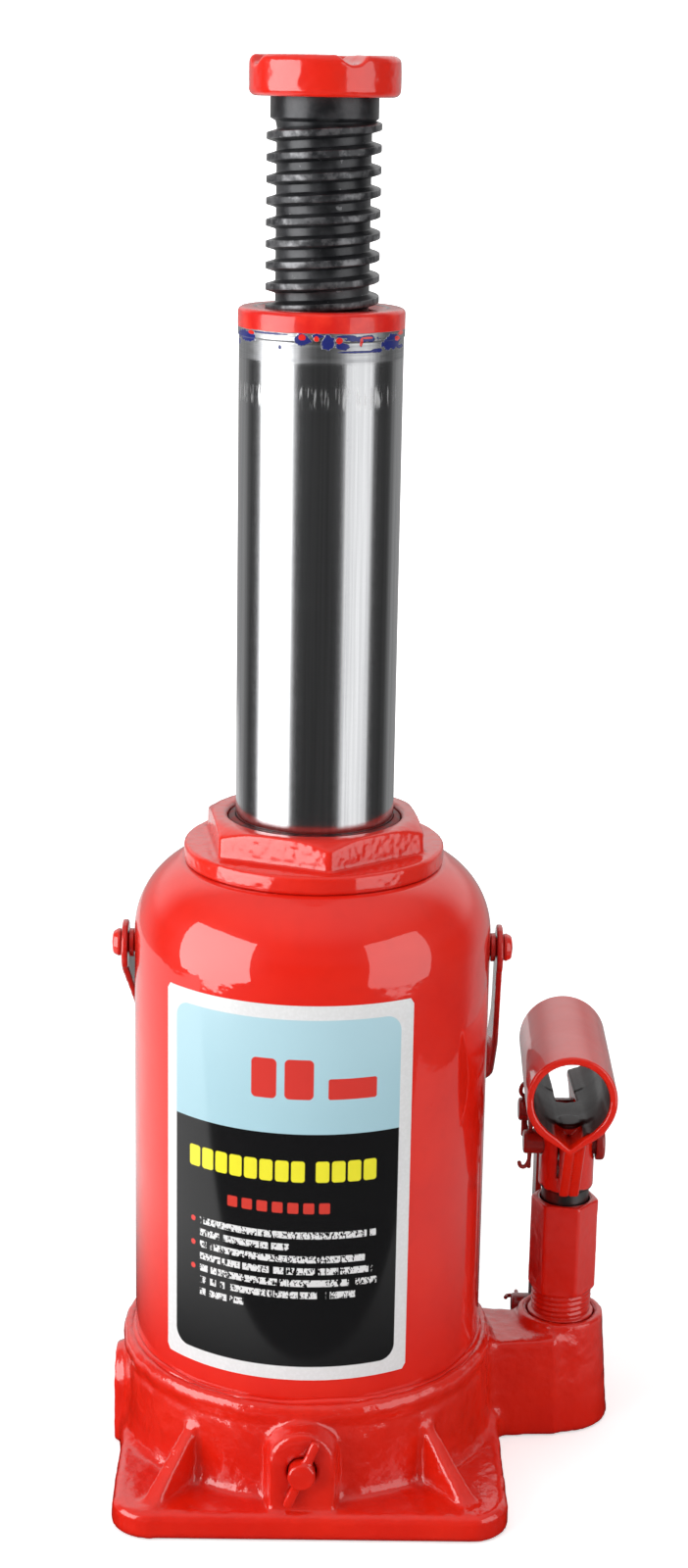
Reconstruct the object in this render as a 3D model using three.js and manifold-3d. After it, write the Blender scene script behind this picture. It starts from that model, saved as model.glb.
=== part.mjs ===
// Hydraulic bottle jack, shown with its ram and extension screw run out.
// Millimetres, +Z up. Origin on the ram axis at the underside of the base.
// +X is the pump side, -Y is the front (release valve side).
import * as THREE from 'three';
import { mergeVertices } from 'three/addons/utils/BufferGeometryUtils.js';
import Module from 'manifold-3d';

const wasm = await Module();
wasm.setup();

// ---- driving dimensions -------------------------------------------------
const TANK_R = 57.5;            // outside radius of the oil tank
const TANK_WALL = 3;
const TANK_SEAT_Z = 32;         // lower edge of the tank wall
const TANK_TOP_Z = 203.5;       // flat land under the gland nut
const DOME_R = 26;              // shoulder radius
const DOME_Z = 180;             // start of the shoulder
const TANK_SEG = 30;

const PLATE_X = 62.8;           // half width of the foot plate
const PLATE_SHIFT = 1.8;        // plate cast off centre towards the pump
const PLATE_Y = 72;             // half depth of the foot plate
const PLATE_T = 9;
const PLATE_CORNER = 12;
const RING_R = 61.2;            // wall around the tank seat
const RING_TOP_Z = 41;
const FLOOR_Z = 30;             // floor of the tank seat
const WELL_Z = 14;              // floor of the cylinder well
const WELL_R = 36.2;

const CYL_R = 36;               // pressure cylinder
const CYL_BORE = 30;
const CYL_TOP_Z = 199.5;

const NUT_FLANGE_R = 41.6;
const NUT_FLANGE_Z0 = 204;
const NUT_FLANGE_Z1 = 209.5;
const NUT_HEX_AF = 65;
const NUT_TOP_Z = 218.8;
const NUT_AZ = 7.9;             // azimuth of the first hexagon corner

const RAM_R = 25.2;
const RAM_COLLAR_R = 25.5;
const RAM_COLLAR_Z = 370;
const RAM_TOP_Z = 378.3;
const RAM_BORE = 18.4;
const RAM_BORE_Z = 268;
const RAM_THREAD_Z0 = 343;
const RAM_THREAD_Z1 = 371.3;
const RAM_SEG = 24;

const PITCH = 6.35;             // extension screw, right-handed
const SCREW_MAJOR = 17.3;
const SCREW_ROOT = 14.3;
const SCREW_THREAD_Z0 = 339.3;
const SCREW_THREAD_Z1 = 435.6;
const SCREW_NECK_R = 16.3;
const SCREW_TOP_Z = 439.8;
const THREAD_STEPS = 16;        // facets in one turn
const THREAD_GAP_R = 0.45;
const THREAD_GAP_Z = 0.35;

const SADDLE_R = 22.7;
const SADDLE_Z0 = 440;
const SADDLE_Z1 = 452;
const GROOVE_AZ = 22.6;         // azimuth of one of the two crossed grooves
const GROOVE_R = 4.6;

const PUMP_X = 87;              // pump axis
const PUMP_Y = 16;
const BOSS_TOP_Z = 39;
const WEB_TOP_Z = 34.7;
const PUMP_HEX_AF = 20;
const PUMP_HEX_Z0 = 47;
const PUMP_HEX_Z1 = 80;
const PLUNGER_R = 8;
const PIN_R = 4;
const PIN_P = [16, 99.7];       // plunger pin, y and z
const PIN_B = [40, 101.7];      // upper link pin
const PIN_A = [40, 27.6];         // lower link pin
const PIN_TAIL = 14.9;           // pin end from the pump axis
const COTTER_X = 12.6;
const FORK_R = 9.2;

const SOCKET_R = 15;
const SOCKET_WALL = 2.6;
const SOCKET_Y0 = -14;          // front end of the socket
const SOCKET_LEN = 75;
const SOCKET_Z = 126;           // axis height at the front end
const SOCKET_TILT = 4;          // degrees, front end up
const SOCKET_YAW = 2.6;         // tube welded slightly askew on its tongue
const SOCKET_SHIFT = -2.1;      // front end off the pump axis
const TONGUE_T = 6.7;

const LINK_T = 2.1;
const LINK_X = 6.35;            // inner face from the pump axis
const LINK_W = 6.4;             // half width

const VALVE_X = -1;             // release valve axis
const VALVE_Z = 22.8;
const LEFT_PAD_X = 64.4;        // face of the left pad

const STUD_Z = 174;             // carry handle pivots
const STRAP_T = 2;
const STRAP_W = 16;
const STRAP_X = 60.6;
const STRAP_LEN = 93;
const STRAP_SPLAY = 2.4;        // right arm bent outwards
const STRAP_LEAN = 6;           // left arm bent inwards
const STRAP_DROP = 45;          // degrees below horizontal, towards the back

const rad = (d) => (d * Math.PI) / 180;
const ID = new THREE.Matrix4();

// ---- helpers ------------------------------------------------------------
function solid(geometry, matrix = ID) {
  let g = geometry.clone();
  g.applyMatrix4(matrix);
  g.deleteAttribute('normal');
  g.deleteAttribute('uv');
  g = mergeVertices(g, 1e-4);
  const p = g.attributes.position.array;
  const tri = [];
  const ix = g.index.array;
  let vol = 0;
  for (let i = 0; i < ix.length; i += 3) {
    const a = ix[i], b = ix[i + 1], c = ix[i + 2];
    if (a === b || b === c || a === c) continue;
    tri.push(a, b, c);
    const ax = p[3 * a], ay = p[3 * a + 1], az = p[3 * a + 2];
    const bx = p[3 * b], by = p[3 * b + 1], bz = p[3 * b + 2];
    const cx = p[3 * c], cy = p[3 * c + 1], cz = p[3 * c + 2];
    vol += ax * (by * cz - bz * cy) - ay * (bx * cz - bz * cx) + az * (bx * cy - by * cx);
  }
  if (vol < 0) for (let i = 0; i < tri.length; i += 3) { const t = tri[i]; tri[i] = tri[i + 1]; tri[i + 1] = t; }
  return new wasm.Manifold(new wasm.Mesh({
    numProp: 3, vertProperties: new Float32Array(p), triVerts: new Uint32Array(tri),
  }));
}

// Body of revolution about +Z; azimuth 0 is -Y and grows towards +X.
function turned(profile, seg = 32, phase = 0, matrix = ID) {
  const pts = profile.map(([r, z]) => new THREE.Vector2(Math.max(r, 0), z));
  const g = new THREE.LatheGeometry(pts, seg, rad(phase), Math.PI * 2);
  g.rotateX(Math.PI / 2);
  return solid(g, matrix);
}
const rod = (r, z0, z1, seg = 24, phase = 0, matrix = ID) =>
  turned([[0, z0], [r, z0], [r, z1], [0, z1]], seg, phase, matrix);
const ring = (r0, r1, z0, z1, seg = 32, phase = 0, matrix = ID) =>
  turned([[r0, z0], [r1, z0], [r1, z1], [r0, z1], [r0, z0]], seg, phase, matrix);

// Frames that lay a local axis along a world axis.
const move = (x, y, z) => new THREE.Matrix4().makeTranslation(x, y, z);
// local Z -> world X (local X -> Y, local Y -> Z)
const alongX = (x = 0, y = 0, z = 0) => new THREE.Matrix4().set(0, 0, 1, x, 1, 0, 0, y, 0, 1, 0, z, 0, 0, 0, 1);
// local Z -> world -Y (local X -> X, local Y -> Z)
const alongFront = (x = 0, y = 0, z = 0) => new THREE.Matrix4().set(1, 0, 0, x, 0, 0, -1, y, 0, 1, 0, z, 0, 0, 0, 1);
// local Z -> world -X (local X -> -Y, local Y -> Z)
const alongLeft = (x = 0, y = 0, z = 0) => new THREE.Matrix4().set(0, 0, -1, x, -1, 0, 0, y, 0, 1, 0, z, 0, 0, 0, 1);
// local Z -> world +Y (local X -> -X, local Y -> Z)
const alongBack = (x = 0, y = 0, z = 0) => new THREE.Matrix4().set(-1, 0, 0, x, 0, 0, 1, y, 0, 1, 0, z, 0, 0, 0, 1);

function prism(points, z0, z1, matrix = ID) {
  const shape = new THREE.Shape(points.map(([x, y]) => new THREE.Vector2(x, y)));
  const g = new THREE.ExtrudeGeometry(shape, { depth: z1 - z0, bevelEnabled: false, steps: 1 });
  g.translate(0, 0, z0);
  return solid(g, matrix);
}

// Skin over a pile of outlines that all have the same number of points.
function stack(layers, matrix = ID) {
  const n = layers[0].pts.length;
  const pos = [];
  for (const { pts, z } of layers) for (const [x, y] of pts) pos.push(x, y, z);
  const ix = [];
  for (let l = 0; l + 1 < layers.length; l++) {
    for (let i = 0; i < n; i++) {
      const j = (i + 1) % n;
      const a = l * n + i, b = l * n + j, c = a + n, d = b + n;
      ix.push(a, b, d, a, d, c);
    }
  }
  const cap = (l, flip) => {
    const v = layers[l].pts.map(([x, y]) => new THREE.Vector2(x, y));
    for (const [a, b, c] of THREE.ShapeUtils.triangulateShape(v, [])) {
      if (flip) ix.push(l * n + a, l * n + c, l * n + b);
      else ix.push(l * n + a, l * n + b, l * n + c);
    }
  };
  cap(0, true);
  cap(layers.length - 1, false);
  const g = new THREE.BufferGeometry();
  g.setAttribute('position', new THREE.Float32BufferAttribute(pos, 3));
  g.setIndex(ix);
  return solid(g, matrix);
}

function roundedRect(hx, hy, r, k = 5) {
  const out = [];
  for (const [cx, cy, a0] of [[hx - r, hy - r, 0], [-hx + r, hy - r, 90], [-hx + r, -hy + r, 180], [hx - r, -hy + r, 270]]) {
    for (let i = 0; i <= k; i++) {
      const a = rad(a0 + (90 * i) / k);
      out.push([cx + r * Math.cos(a), cy + r * Math.sin(a)]);
    }
  }
  return out;
}

function hexagon(af, az) {
  const r = af / Math.sqrt(3);
  return [...Array(6).keys()].map((i) => [r * Math.sin(rad(az + 60 * i)), -r * Math.cos(rad(az + 60 * i))]);
}

function arc(cx, cy, r, a0, a1, k) {
  return [...Array(k + 1).keys()].map((i) => {
    const a = rad(a0 + ((a1 - a0) * i) / k);
    return [cx + r * Math.cos(a), cy + r * Math.sin(a)];
  });
}

// Helical ridge solid: trapezoidal thread on a core, wound right-handed.
function helicoid(root, major, crest, base, z0, z1, steps) {
  const turns = Math.ceil((z1 - z0) / PITCH) + 2;
  const zs = z0 - PITCH * 1.0;
  const prof = [[root, 0], [major, (base - crest) / 2], [major, (base + crest) / 2], [root, base]];
  const N = turns * steps;
  const pos = [];
  // each step carries the four ridge points plus the far end of the land
  for (let i = 0; i <= N; i++) {
    const a = (2 * Math.PI * i) / steps;
    const z = zs + (PITCH * i) / steps;
    for (const [r, dz] of prof) pos.push(r * Math.sin(a), -r * Math.cos(a), z + dz);
  }
  const ix = [];
  const q = (a, b, c, d) => ix.push(a, b, c, a, c, d);
  for (let i = 0; i < N; i++) {
    const p = 4 * i, n = 4 * (i + 1);
    for (let k = 0; k < 3; k++) q(p + k, n + k, n + k + 1, p + k + 1);
  }
  // lands between one turn and the next
  for (let i = 0; i + steps < N; i++) {
    q(4 * i + 3, 4 * (i + 1) + 3, 4 * (i + 1 + steps), 4 * (i + steps));
  }
  // lower end: fan from an axis point over the first turn's lower edge
  const lo = pos.length / 3;
  pos.push(0, 0, zs - 4);
  for (let i = 0; i < steps; i++) ix.push(lo, 4 * (i + 1), 4 * i);
  ix.push(lo, 4 * 0, 4 * 0 + 1, lo, 1, 2, lo, 2, 3);
  ix.push(lo, 3, 4 * steps);
  // upper end: fan over the last turn's upper edge
  const hi = pos.length / 3;
  pos.push(0, 0, zs + PITCH * turns + base + 4);
  for (let i = N - steps; i < N; i++) ix.push(hi, 4 * i + 3, 4 * (i + 1) + 3);
  const e = 4 * N;
  ix.push(hi, e + 3, e + 2, hi, e + 2, e + 1, hi, e + 1, e);
  ix.push(hi, e, 4 * (N - steps) + 3);
  const g = new THREE.BufferGeometry();
  g.setAttribute('position', new THREE.Float32BufferAttribute(pos, 3));
  g.setIndex(ix);
  return solid(g);
}

class Helix extends THREE.Curve {
  constructor(r, len, turns) { super(); this.r = r; this.len = len; this.turns = turns; }
  getPoint(t, target = new THREE.Vector3()) {
    const a = 2 * Math.PI * this.turns * t;
    return target.set(this.r * Math.cos(a), this.r * Math.sin(a), this.len * t);
  }
}
function coil(r, wire, len, turns, matrix) {
  const shape = new THREE.Shape(arc(0, 0, wire, 0, 288, 4).map(([x, y]) => new THREE.Vector2(x, y)));
  const g = new THREE.ExtrudeGeometry(shape, { steps: turns * 8, bevelEnabled: false, extrudePath: new Helix(r, len, turns) });
  return solid(g, matrix);
}
function wireAlong(points, wire, steps, matrix = ID, k = 6) {
  const curve = new THREE.CatmullRomCurve3(points.map((p) => new THREE.Vector3(...p)), false, 'centripetal');
  const shape = new THREE.Shape(arc(0, 0, wire, 0, 360 - 360 / k, k - 1).map(([x, y]) => new THREE.Vector2(x, y)));
  const g = new THREE.ExtrudeGeometry(shape, { steps, bevelEnabled: false, extrudePath: curve });
  return solid(g, matrix);
}

const join = (first, ...rest) => rest.reduce((a, b) => a.add(b), first);
const cut = (first, ...rest) => rest.reduce((a, b) => a.subtract(b), first);

const root = new THREE.Group();
root.name = 'bottle_jack';
function put(name, body, look) {
  const m = body.getMesh();
  const g = new THREE.BufferGeometry();
  const k = m.numProp;
  const pos = new Float32Array((m.vertProperties.length / k) * 3);
  for (let i = 0; i < pos.length / 3; i++) {
    pos[3 * i] = m.vertProperties[k * i];
    pos[3 * i + 1] = m.vertProperties[k * i + 1];
    pos[3 * i + 2] = m.vertProperties[k * i + 2];
  }
  g.setAttribute('position', new THREE.BufferAttribute(pos, 3));
  g.setIndex(new THREE.BufferAttribute(new Uint32Array(m.triVerts), 1));
  const mesh = new THREE.Mesh(g, new THREE.MeshStandardMaterial(look));
  mesh.name = name;
  root.add(mesh);
}

const RED = { color: 0xd3200f, roughness: 0.3, metalness: 0.0 };
const STEEL = { color: 0xb9bcbe, roughness: 0.28, metalness: 1.0 };
const DARK = { color: 0x2c2d30, roughness: 0.45, metalness: 0.9 };
const BRASS = { color: 0xb87333, roughness: 0.4, metalness: 1.0 };
const RUBBER = { color: 0x141414, roughness: 0.85, metalness: 0.0 };
const SPRING = { color: 0x8f9499, roughness: 0.35, metalness: 1.0 };
const DECAL = { color: 0xa9dbe4, roughness: 0.35, metalness: 0.0 };

// ---- base casting -------------------------------------------------------
{
  // foot plate with rounded edges
  const layer = (inset, z) => ({ pts: roundedRect(PLATE_X - inset, PLATE_Y - inset, PLATE_CORNER - inset * 0.6, 4), z });
  let body = stack([layer(0.8, 0), layer(0, 0.8), layer(0, 5.8), layer(0.9, 8.0), layer(3.0, PLATE_T)], move(PLATE_SHIFT, 0, 0));
  // core and ring wall that hold the tank
  const core = turned([
    [0, 0], [RING_R + 1.2, 0], [RING_R + 1.2, 9], [RING_R + 0.2, 14], [RING_R, 37.4], [RING_R - 0.5, 38.8],
    [RING_R - 0.9, 40.2], [RING_R - 1.9, RING_TOP_Z], [TANK_R + 0.3, RING_TOP_Z],
    [TANK_R + 0.3, FLOOR_Z], [WELL_R, FLOOR_Z], [WELL_R, WELL_Z], [0, WELL_Z],
  ], TANK_SEG, -51);
  body = body.add(core);
  // four corner gussets
  for (const az of [39.5, 140.5, 219.5, 323.4]) {
    const m = new THREE.Matrix4().makeRotationZ(rad(az - 90));
    const half = (w) => [[53, 5], [85.5, 5], [83.5, 9.2], [80, 11.5], [63.5, 27], [61, 29.5], [53, 31]].map(([r, z]) => [r, z, w(z)]);
    const wide = (z) => 3.4 - (1.5 * (z - 5)) / 24;
    const pos = [];
    const left = half(wide), right = half((z) => -wide(z));
    for (const q of left) pos.push(q[0], q[2], q[1]);
    for (const q of right) pos.push(q[0], q[2], q[1]);
    const n = left.length;
    const ix = [];
    for (let i = 0; i < n; i++) { const j = (i + 1) % n; ix.push(i, j, n + j, i, n + j, n + i); }
    for (let i = 1; i + 1 < n; i++) ix.push(0, i + 1, i, n, n + i, n + i + 1);
    const g = new THREE.BufferGeometry();
    g.setAttribute('position', new THREE.Float32BufferAttribute(pos, 3));
    g.setIndex(ix);
    body = body.add(solid(g, m));
  }
  // arch-topped valve pads at the front and the left
  const tomb = (w, top) => [[-w, 6], [w, 6], ...arc(0, top - w, w, 0, 180, 8)];
  const pad = (m, face, drop) => stack([
    { pts: tomb(12.6, 38 - drop), z: 50 }, { pts: tomb(10.9, 36 - drop), z: face - 1.1 }, { pts: tomb(9.9, 35.0 - drop), z: face },
  ], m);
  body = join(body, pad(alongFront(VALVE_X, 0, 0), 68.6, 0), pad(alongLeft(0, 0, 0), LEFT_PAD_X, 4.2));
  // pump boss, web and link lug
  const boss = turned([[0, 0.4], [16.6, 0.4], [17.4, 1.2], [16.9, 8], [14.7, 34], [14.3, 38], [13.5, BOSS_TOP_Z], [0, BOSS_TOP_Z]], 24, 0, move(PUMP_X, PUMP_Y, 0));
  const web = stack([
    { pts: [[52, -6], [84, -1.6], [87, 6], [87, 20], [52, 26]], z: 0.6 },
    { pts: [[52, -5.8], [82, -1.4], [86, 6], [86, 20], [52, 25.4]], z: 33.6 },
    { pts: [[52, -4.6], [81, -0.2], [85, 7], [85, 19], [52, 24.4]], z: WEB_TOP_Z },
  ]);
  const lug = prism([[18, 0.6], [49, 0.6], [47.6, 8], [47, 20], ...arc(PIN_A[0], PIN_A[1], 7, 0, 120, 5), [24, 34.5], [18, 34.5]], -6.2, 6.2, alongX(PUMP_X));
  body = join(body, boss, web, lug);
  // machined holes: well, pump bore, valve bores, pin hole, oil ways
  body = cut(
    body,
    turned([[0, WELL_Z], [WELL_R, WELL_Z], [WELL_R, FLOOR_Z], [TANK_R + 0.3, FLOOR_Z], [TANK_R + 0.3, 60], [0, 60]], TANK_SEG, -51),
    turned([[0, 8], [11.4, 8], [11.4, 38.2], [12, 60], [0, 60]], 24, 0, move(PUMP_X, PUMP_Y, 0)),
    rod(2, 4.5, 9, 12, 0, move(PUMP_X, PUMP_Y, 0)),
    rod(4.65, 42, 80, 16, 0, alongFront(VALVE_X, 0, VALVE_Z)),
    rod(5.4, 65.6, 80, 16, 0, alongFront(VALVE_X, 0, VALVE_Z)),
    rod(5.15, 47.8, 80, 16, 0, alongLeft(0, 0, VALVE_Z)),
    rod(PIN_R + 0.08, -12, 12, 16, 0, alongX(PUMP_X, PIN_A[0], PIN_A[1])),
    rod(1.8, 7, VALVE_Z, 8, 0, move(VALVE_X, -44, 0)),
    rod(1.8, 0, 46, 10, 0, alongFront(VALVE_X, 0, 9)),
    rod(1.8, 7, VALVE_Z, 10, 0, move(-52, 0, 0)),
    rod(1.8, 0, 54, 10, 0, alongLeft(0, 0, 9)),
    rod(3, 7, 20, 12),
    rod(4.6, -1, 12, 16, 0, move(42, -16, 0)),
    rod(1.8, 8, 40, 10, 0, move(42, -16, 0)),
    rod(4.6, -1, 12, 16, 0, move(44, 16, 0)),
    rod(1.8, 0, 44, 10, 0, alongX(0, 0, 9.4).multiply(new THREE.Matrix4().makeRotationX(0))),
    rod(1.8, 40, PUMP_X, 10, 0, alongX(0, PUMP_Y, 6.3)),
    rod(1.8, -2, 34, 10, 0, alongFront(42, 16, 6.3)),
    rod(1.8, 0, 17, 10, 0, alongFront(44, 16, 9.4)),
  );
  put('base_casting', body, { color: 0xc81c0d, roughness: 0.42, metalness: 0.0 });
}

// ---- tank ---------------------------------------------------------------
{
  const outer = [];
  const inner = [];
  const aTop = Math.asin((TANK_TOP_Z - DOME_Z) / DOME_R);
  for (let i = 0; i <= 6; i++) {
    const a = (aTop * i) / 6;
    outer.push([TANK_R - DOME_R + DOME_R * Math.cos(a), DOME_Z + DOME_R * Math.sin(a)]);
  }
  const ri = DOME_R - TANK_WALL;
  const aIn = Math.asin((TANK_TOP_Z - TANK_WALL - DOME_Z) / ri);
  for (let i = 4; i >= 0; i--) {
    const a = (aIn * i) / 4;
    inner.push([TANK_R - DOME_R + ri * Math.cos(a), DOME_Z + ri * Math.sin(a)]);
  }
  const prof = [[TANK_R - TANK_WALL, TANK_SEAT_Z], [TANK_R, TANK_SEAT_Z], ...outer, [31.6, TANK_TOP_Z], [31.6, TANK_TOP_Z - TANK_WALL], ...inner, [TANK_R - TANK_WALL, TANK_SEAT_Z]];
  let tank = turned(prof, TANK_SEG, -51);
  tank = cut(
    tank,
    rod(4.2, 50, 62, 16, 0, alongBack(0, 0, 165)),
    rod(3.1, 50, 62, 16, 0, alongX(0, 0, STUD_Z)),
    rod(3.1, 50, 62, 16, 0, alongLeft(0, 0, STUD_Z)),
  );
  put('tank', tank, RED);
}
put('tank_gasket_lower', ring(53, 57.4, FLOOR_Z + 0.05, TANK_SEAT_Z - 0.05, TANK_SEG, -51), RUBBER);
put('tank_gasket_upper', ring(31.9, 41, TANK_TOP_Z + 0.05, NUT_FLANGE_Z0 - 0.05, RAM_SEG), RUBBER);

// ---- decal on the tank --------------------------------------------------
{
  const pos = [];
  const ix = [];
  const n = 7;
  for (let i = 0; i <= n; i++) {
    const a = rad(-51 + 12 * i);
    for (const [r, z] of [[57.56, 48.6], [57.86, 48.6], [57.86, 173.6], [57.56, 173.6]]) pos.push(r * Math.sin(a), -r * Math.cos(a), z);
  }
  for (let i = 0; i < n; i++) for (let k = 0; k < 4; k++) {
    const a = 4 * i + k, b = 4 * i + ((k + 1) % 4);
    ix.push(a, a + 4, b + 4, a, b + 4, b);
  }
  ix.push(0, 1, 2, 0, 2, 3);
  const e = 4 * n;
  ix.push(e, e + 2, e + 1, e, e + 3, e + 2);
  const g = new THREE.BufferGeometry();
  g.setAttribute('position', new THREE.Float32BufferAttribute(pos, 3));
  g.setIndex(ix);
  put('decal', solid(g), DECAL);
}

// ---- pressure cylinder --------------------------------------------------
put('cylinder_washer', ring(31, 35.8, WELL_Z + 0.05, WELL_Z + 1.8, RAM_SEG), BRASS);
put('pressure_cylinder', turned([
  [CYL_BORE, WELL_Z + 1.9], [CYL_R, WELL_Z + 1.9], [CYL_R, 28], [CYL_R - 0.6, 29], [CYL_R - 0.6, CYL_TOP_Z - 1], [CYL_R - 1.6, CYL_TOP_Z],
  [CYL_BORE + 0.6, CYL_TOP_Z], [CYL_BORE, CYL_TOP_Z - 0.6], [CYL_BORE, WELL_Z + 1.9],
], RAM_SEG), { color: 0x8c9094, roughness: 0.4, metalness: 1.0 });

// ---- gland nut ----------------------------------------------------------
{
  const skirt = turned([
    [RAM_R + 0.3, 188.7], [CYL_BORE - 0.15, 188.7], [CYL_BORE - 0.15, NUT_FLANGE_Z0 - 3], [31.3, NUT_FLANGE_Z0 - 3], [31.3, NUT_FLANGE_Z0],
    [NUT_FLANGE_R - 0.5, NUT_FLANGE_Z0], [NUT_FLANGE_R, NUT_FLANGE_Z0 + 0.6], [NUT_FLANGE_R, NUT_FLANGE_Z1 - 1.2],
    [NUT_FLANGE_R - 1.2, NUT_FLANGE_Z1 - 0.2], [34, NUT_FLANGE_Z1], [34, NUT_FLANGE_Z1 + 0.2], [RAM_R + 0.3, NUT_FLANGE_Z1 + 0.2], [RAM_R + 0.3, 188.7],
  ], RAM_SEG);
  const hex = prism(hexagon(NUT_HEX_AF, NUT_AZ), NUT_FLANGE_Z1 - 1.5, NUT_TOP_Z);
  const chamfer = turned([[0, 200], [50, 200], [50, NUT_TOP_Z - 8], [32.4, NUT_TOP_Z], [0, NUT_TOP_Z]], RAM_SEG);
  let nut = join(skirt, hex.intersect(chamfer));
  nut = cut(nut, rod(RAM_R + 0.3, 180, 230, RAM_SEG), turned([[0, 213.6], [27.7, 213.6], [27.7, 230], [0, 230]], RAM_SEG));
  put('gland_nut', nut, RED);
}
put('ram_wiper', turned([
  [RAM_R + 0.35, 213.7], [27.6, 213.7], [27.6, 217.6], [26.4, 218.3], [RAM_R + 0.35, 218.6], [RAM_R + 0.35, 213.7],
], RAM_SEG), RUBBER);

// ---- extension screw and ram --------------------------------------------
const THREAD_CREST = 2.6;
const THREAD_BASE = 3.8;
{
  const bar = helicoid(SCREW_ROOT, SCREW_MAJOR, THREAD_CREST, THREAD_BASE, SCREW_THREAD_Z0, SCREW_THREAD_Z1, THREAD_STEPS);
  const envelope = turned([
    [0, SCREW_THREAD_Z0], [SCREW_ROOT - 0.2, SCREW_THREAD_Z0], [SCREW_MAJOR + 0.3, SCREW_THREAD_Z0 + 3], [SCREW_MAJOR + 0.3, SCREW_THREAD_Z1 - 2], [SCREW_ROOT + 1, SCREW_THREAD_Z1 + 0.5], [0, SCREW_THREAD_Z1 + 0.5],
  ], THREAD_STEPS);
  const neck = turned([
    [0, 431.4], [SCREW_ROOT - 0.4, 431.4], [SCREW_NECK_R, 434.8], [SCREW_NECK_R, SCREW_TOP_Z], [9, SCREW_TOP_Z], [9, 446.6], [8.4, 447.2], [0, 447.2],
  ], THREAD_STEPS);
  const stub = turned([
    [0, 329.6], [13.2, 329.6], [14, 330.4], [14, 332.6], [12.4, 332.6], [12.4, SCREW_THREAD_Z0 + 0.5], [0, SCREW_THREAD_Z0 + 0.5],
  ], THREAD_STEPS);
  put('extension_screw', join(bar.intersect(envelope), neck, stub), DARK);
  put('screw_stop_ring', ring(12.7, RAM_BORE - 0.25, 333, 336.4, RAM_SEG), SPRING);

  let ram = turned([
    [0, 165.8], [12, 165.8], [12, 178], [CYL_BORE - 0.3, 178], [CYL_BORE - 0.3, 188], [CYL_BORE - 0.8, 188.4],
    [RAM_R, 188.4], [RAM_R, RAM_COLLAR_Z - 0.6], [RAM_COLLAR_R - 0.05, RAM_COLLAR_Z], [RAM_COLLAR_R, RAM_COLLAR_Z + 0.4], [RAM_COLLAR_R, RAM_TOP_Z - 1.6],
    [RAM_COLLAR_R - 0.5, RAM_TOP_Z - 0.5], [RAM_COLLAR_R - 1.6, RAM_TOP_Z], [0, RAM_TOP_Z],
  ], RAM_SEG);
  const tap = helicoid(SCREW_ROOT + THREAD_GAP_R, SCREW_MAJOR + THREAD_GAP_R, THREAD_CREST + 2 * THREAD_GAP_Z, THREAD_BASE + 2 * THREAD_GAP_Z, RAM_THREAD_Z0, RAM_THREAD_Z1, THREAD_STEPS);
  // the cutting copy is lowered by the axial gap so the clearance is shared
  const tapEnvelope = rod(SCREW_MAJOR + 2, RAM_THREAD_Z0 - 3, RAM_THREAD_Z1 + 3, THREAD_STEPS);
  // wound from the same start angle as the screw
  const lead = (a, b) => { const d = (a - b) / PITCH; return (d - Math.floor(d)) * PITCH; };
  const shift = lead(SCREW_THREAD_Z0, RAM_THREAD_Z0) - THREAD_GAP_Z;
  ram = cut(
    ram,
    tap.translate([0, 0, shift]).intersect(tapEnvelope),
    turned([[0, RAM_BORE_Z - 6], [RAM_BORE - 3, RAM_BORE_Z], [RAM_BORE, RAM_BORE_Z], [RAM_BORE, RAM_THREAD_Z0 - 1], [SCREW_ROOT + 0.6, RAM_THREAD_Z0 + 2], [0, RAM_THREAD_Z0 + 2]], RAM_SEG),
    turned([[0, RAM_THREAD_Z1 - 2], [SCREW_ROOT + 0.6, RAM_THREAD_Z1 - 2], [18.1, RAM_THREAD_Z1], [18.1, RAM_TOP_Z - 0.6], [18.9, RAM_TOP_Z + 0.2], [18.9, RAM_TOP_Z + 2], [0, RAM_TOP_Z + 2]], RAM_SEG),
    ring(27.6, 31, 181.4, 185.4, RAM_SEG),
  );
  put('ram', ram, STEEL);
  put('piston_guide_ring', ring(27.75, CYL_BORE - 0.12, 181.5, 185.3, RAM_SEG), { color: 0x6b5b2e, roughness: 0.6, metalness: 0.0 });
  put('piston_cup', turned([
    [12.2, 171], [26, 171], [27, 170.2], [CYL_BORE - 0.12, 170.2], [CYL_BORE - 0.12, 177.3], [CYL_BORE - 0.8, 177.9], [12.2, 177.9], [12.2, 171],
  ], RAM_SEG), RUBBER);
  put('piston_retainer', ring(12.2, 20, 166.2, 170.9, 24), { color: 0x77797c, roughness: 0.4, metalness: 1.0 });
}

// ---- saddle -------------------------------------------------------------
{
  let saddle = turned([
    [0, SADDLE_Z0], [SADDLE_R - 1.4, SADDLE_Z0], [SADDLE_R - 0.3, SADDLE_Z0 + 0.6], [SADDLE_R, SADDLE_Z0 + 1.6], [SADDLE_R, SADDLE_Z1 - 2],
    [SADDLE_R - 0.5, SADDLE_Z1 - 0.6], [SADDLE_R - 1.9, SADDLE_Z1], [0, SADDLE_Z1],
  ], RAM_SEG);
  const groove = (az) => {
    const m = new THREE.Matrix4().makeRotationZ(rad(az)).multiply(alongFront(0, 0, SADDLE_Z1 + 1.8));
    return rod(GROOVE_R, -30, 30, 16, 11.25, m);
  };
  saddle = cut(saddle, groove(GROOVE_AZ), groove(GROOVE_AZ + 90), rod(9.3, SADDLE_Z0 - 1, SADDLE_Z0 + 7.4, THREAD_STEPS));
  put('saddle', saddle, RED);
}

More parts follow.
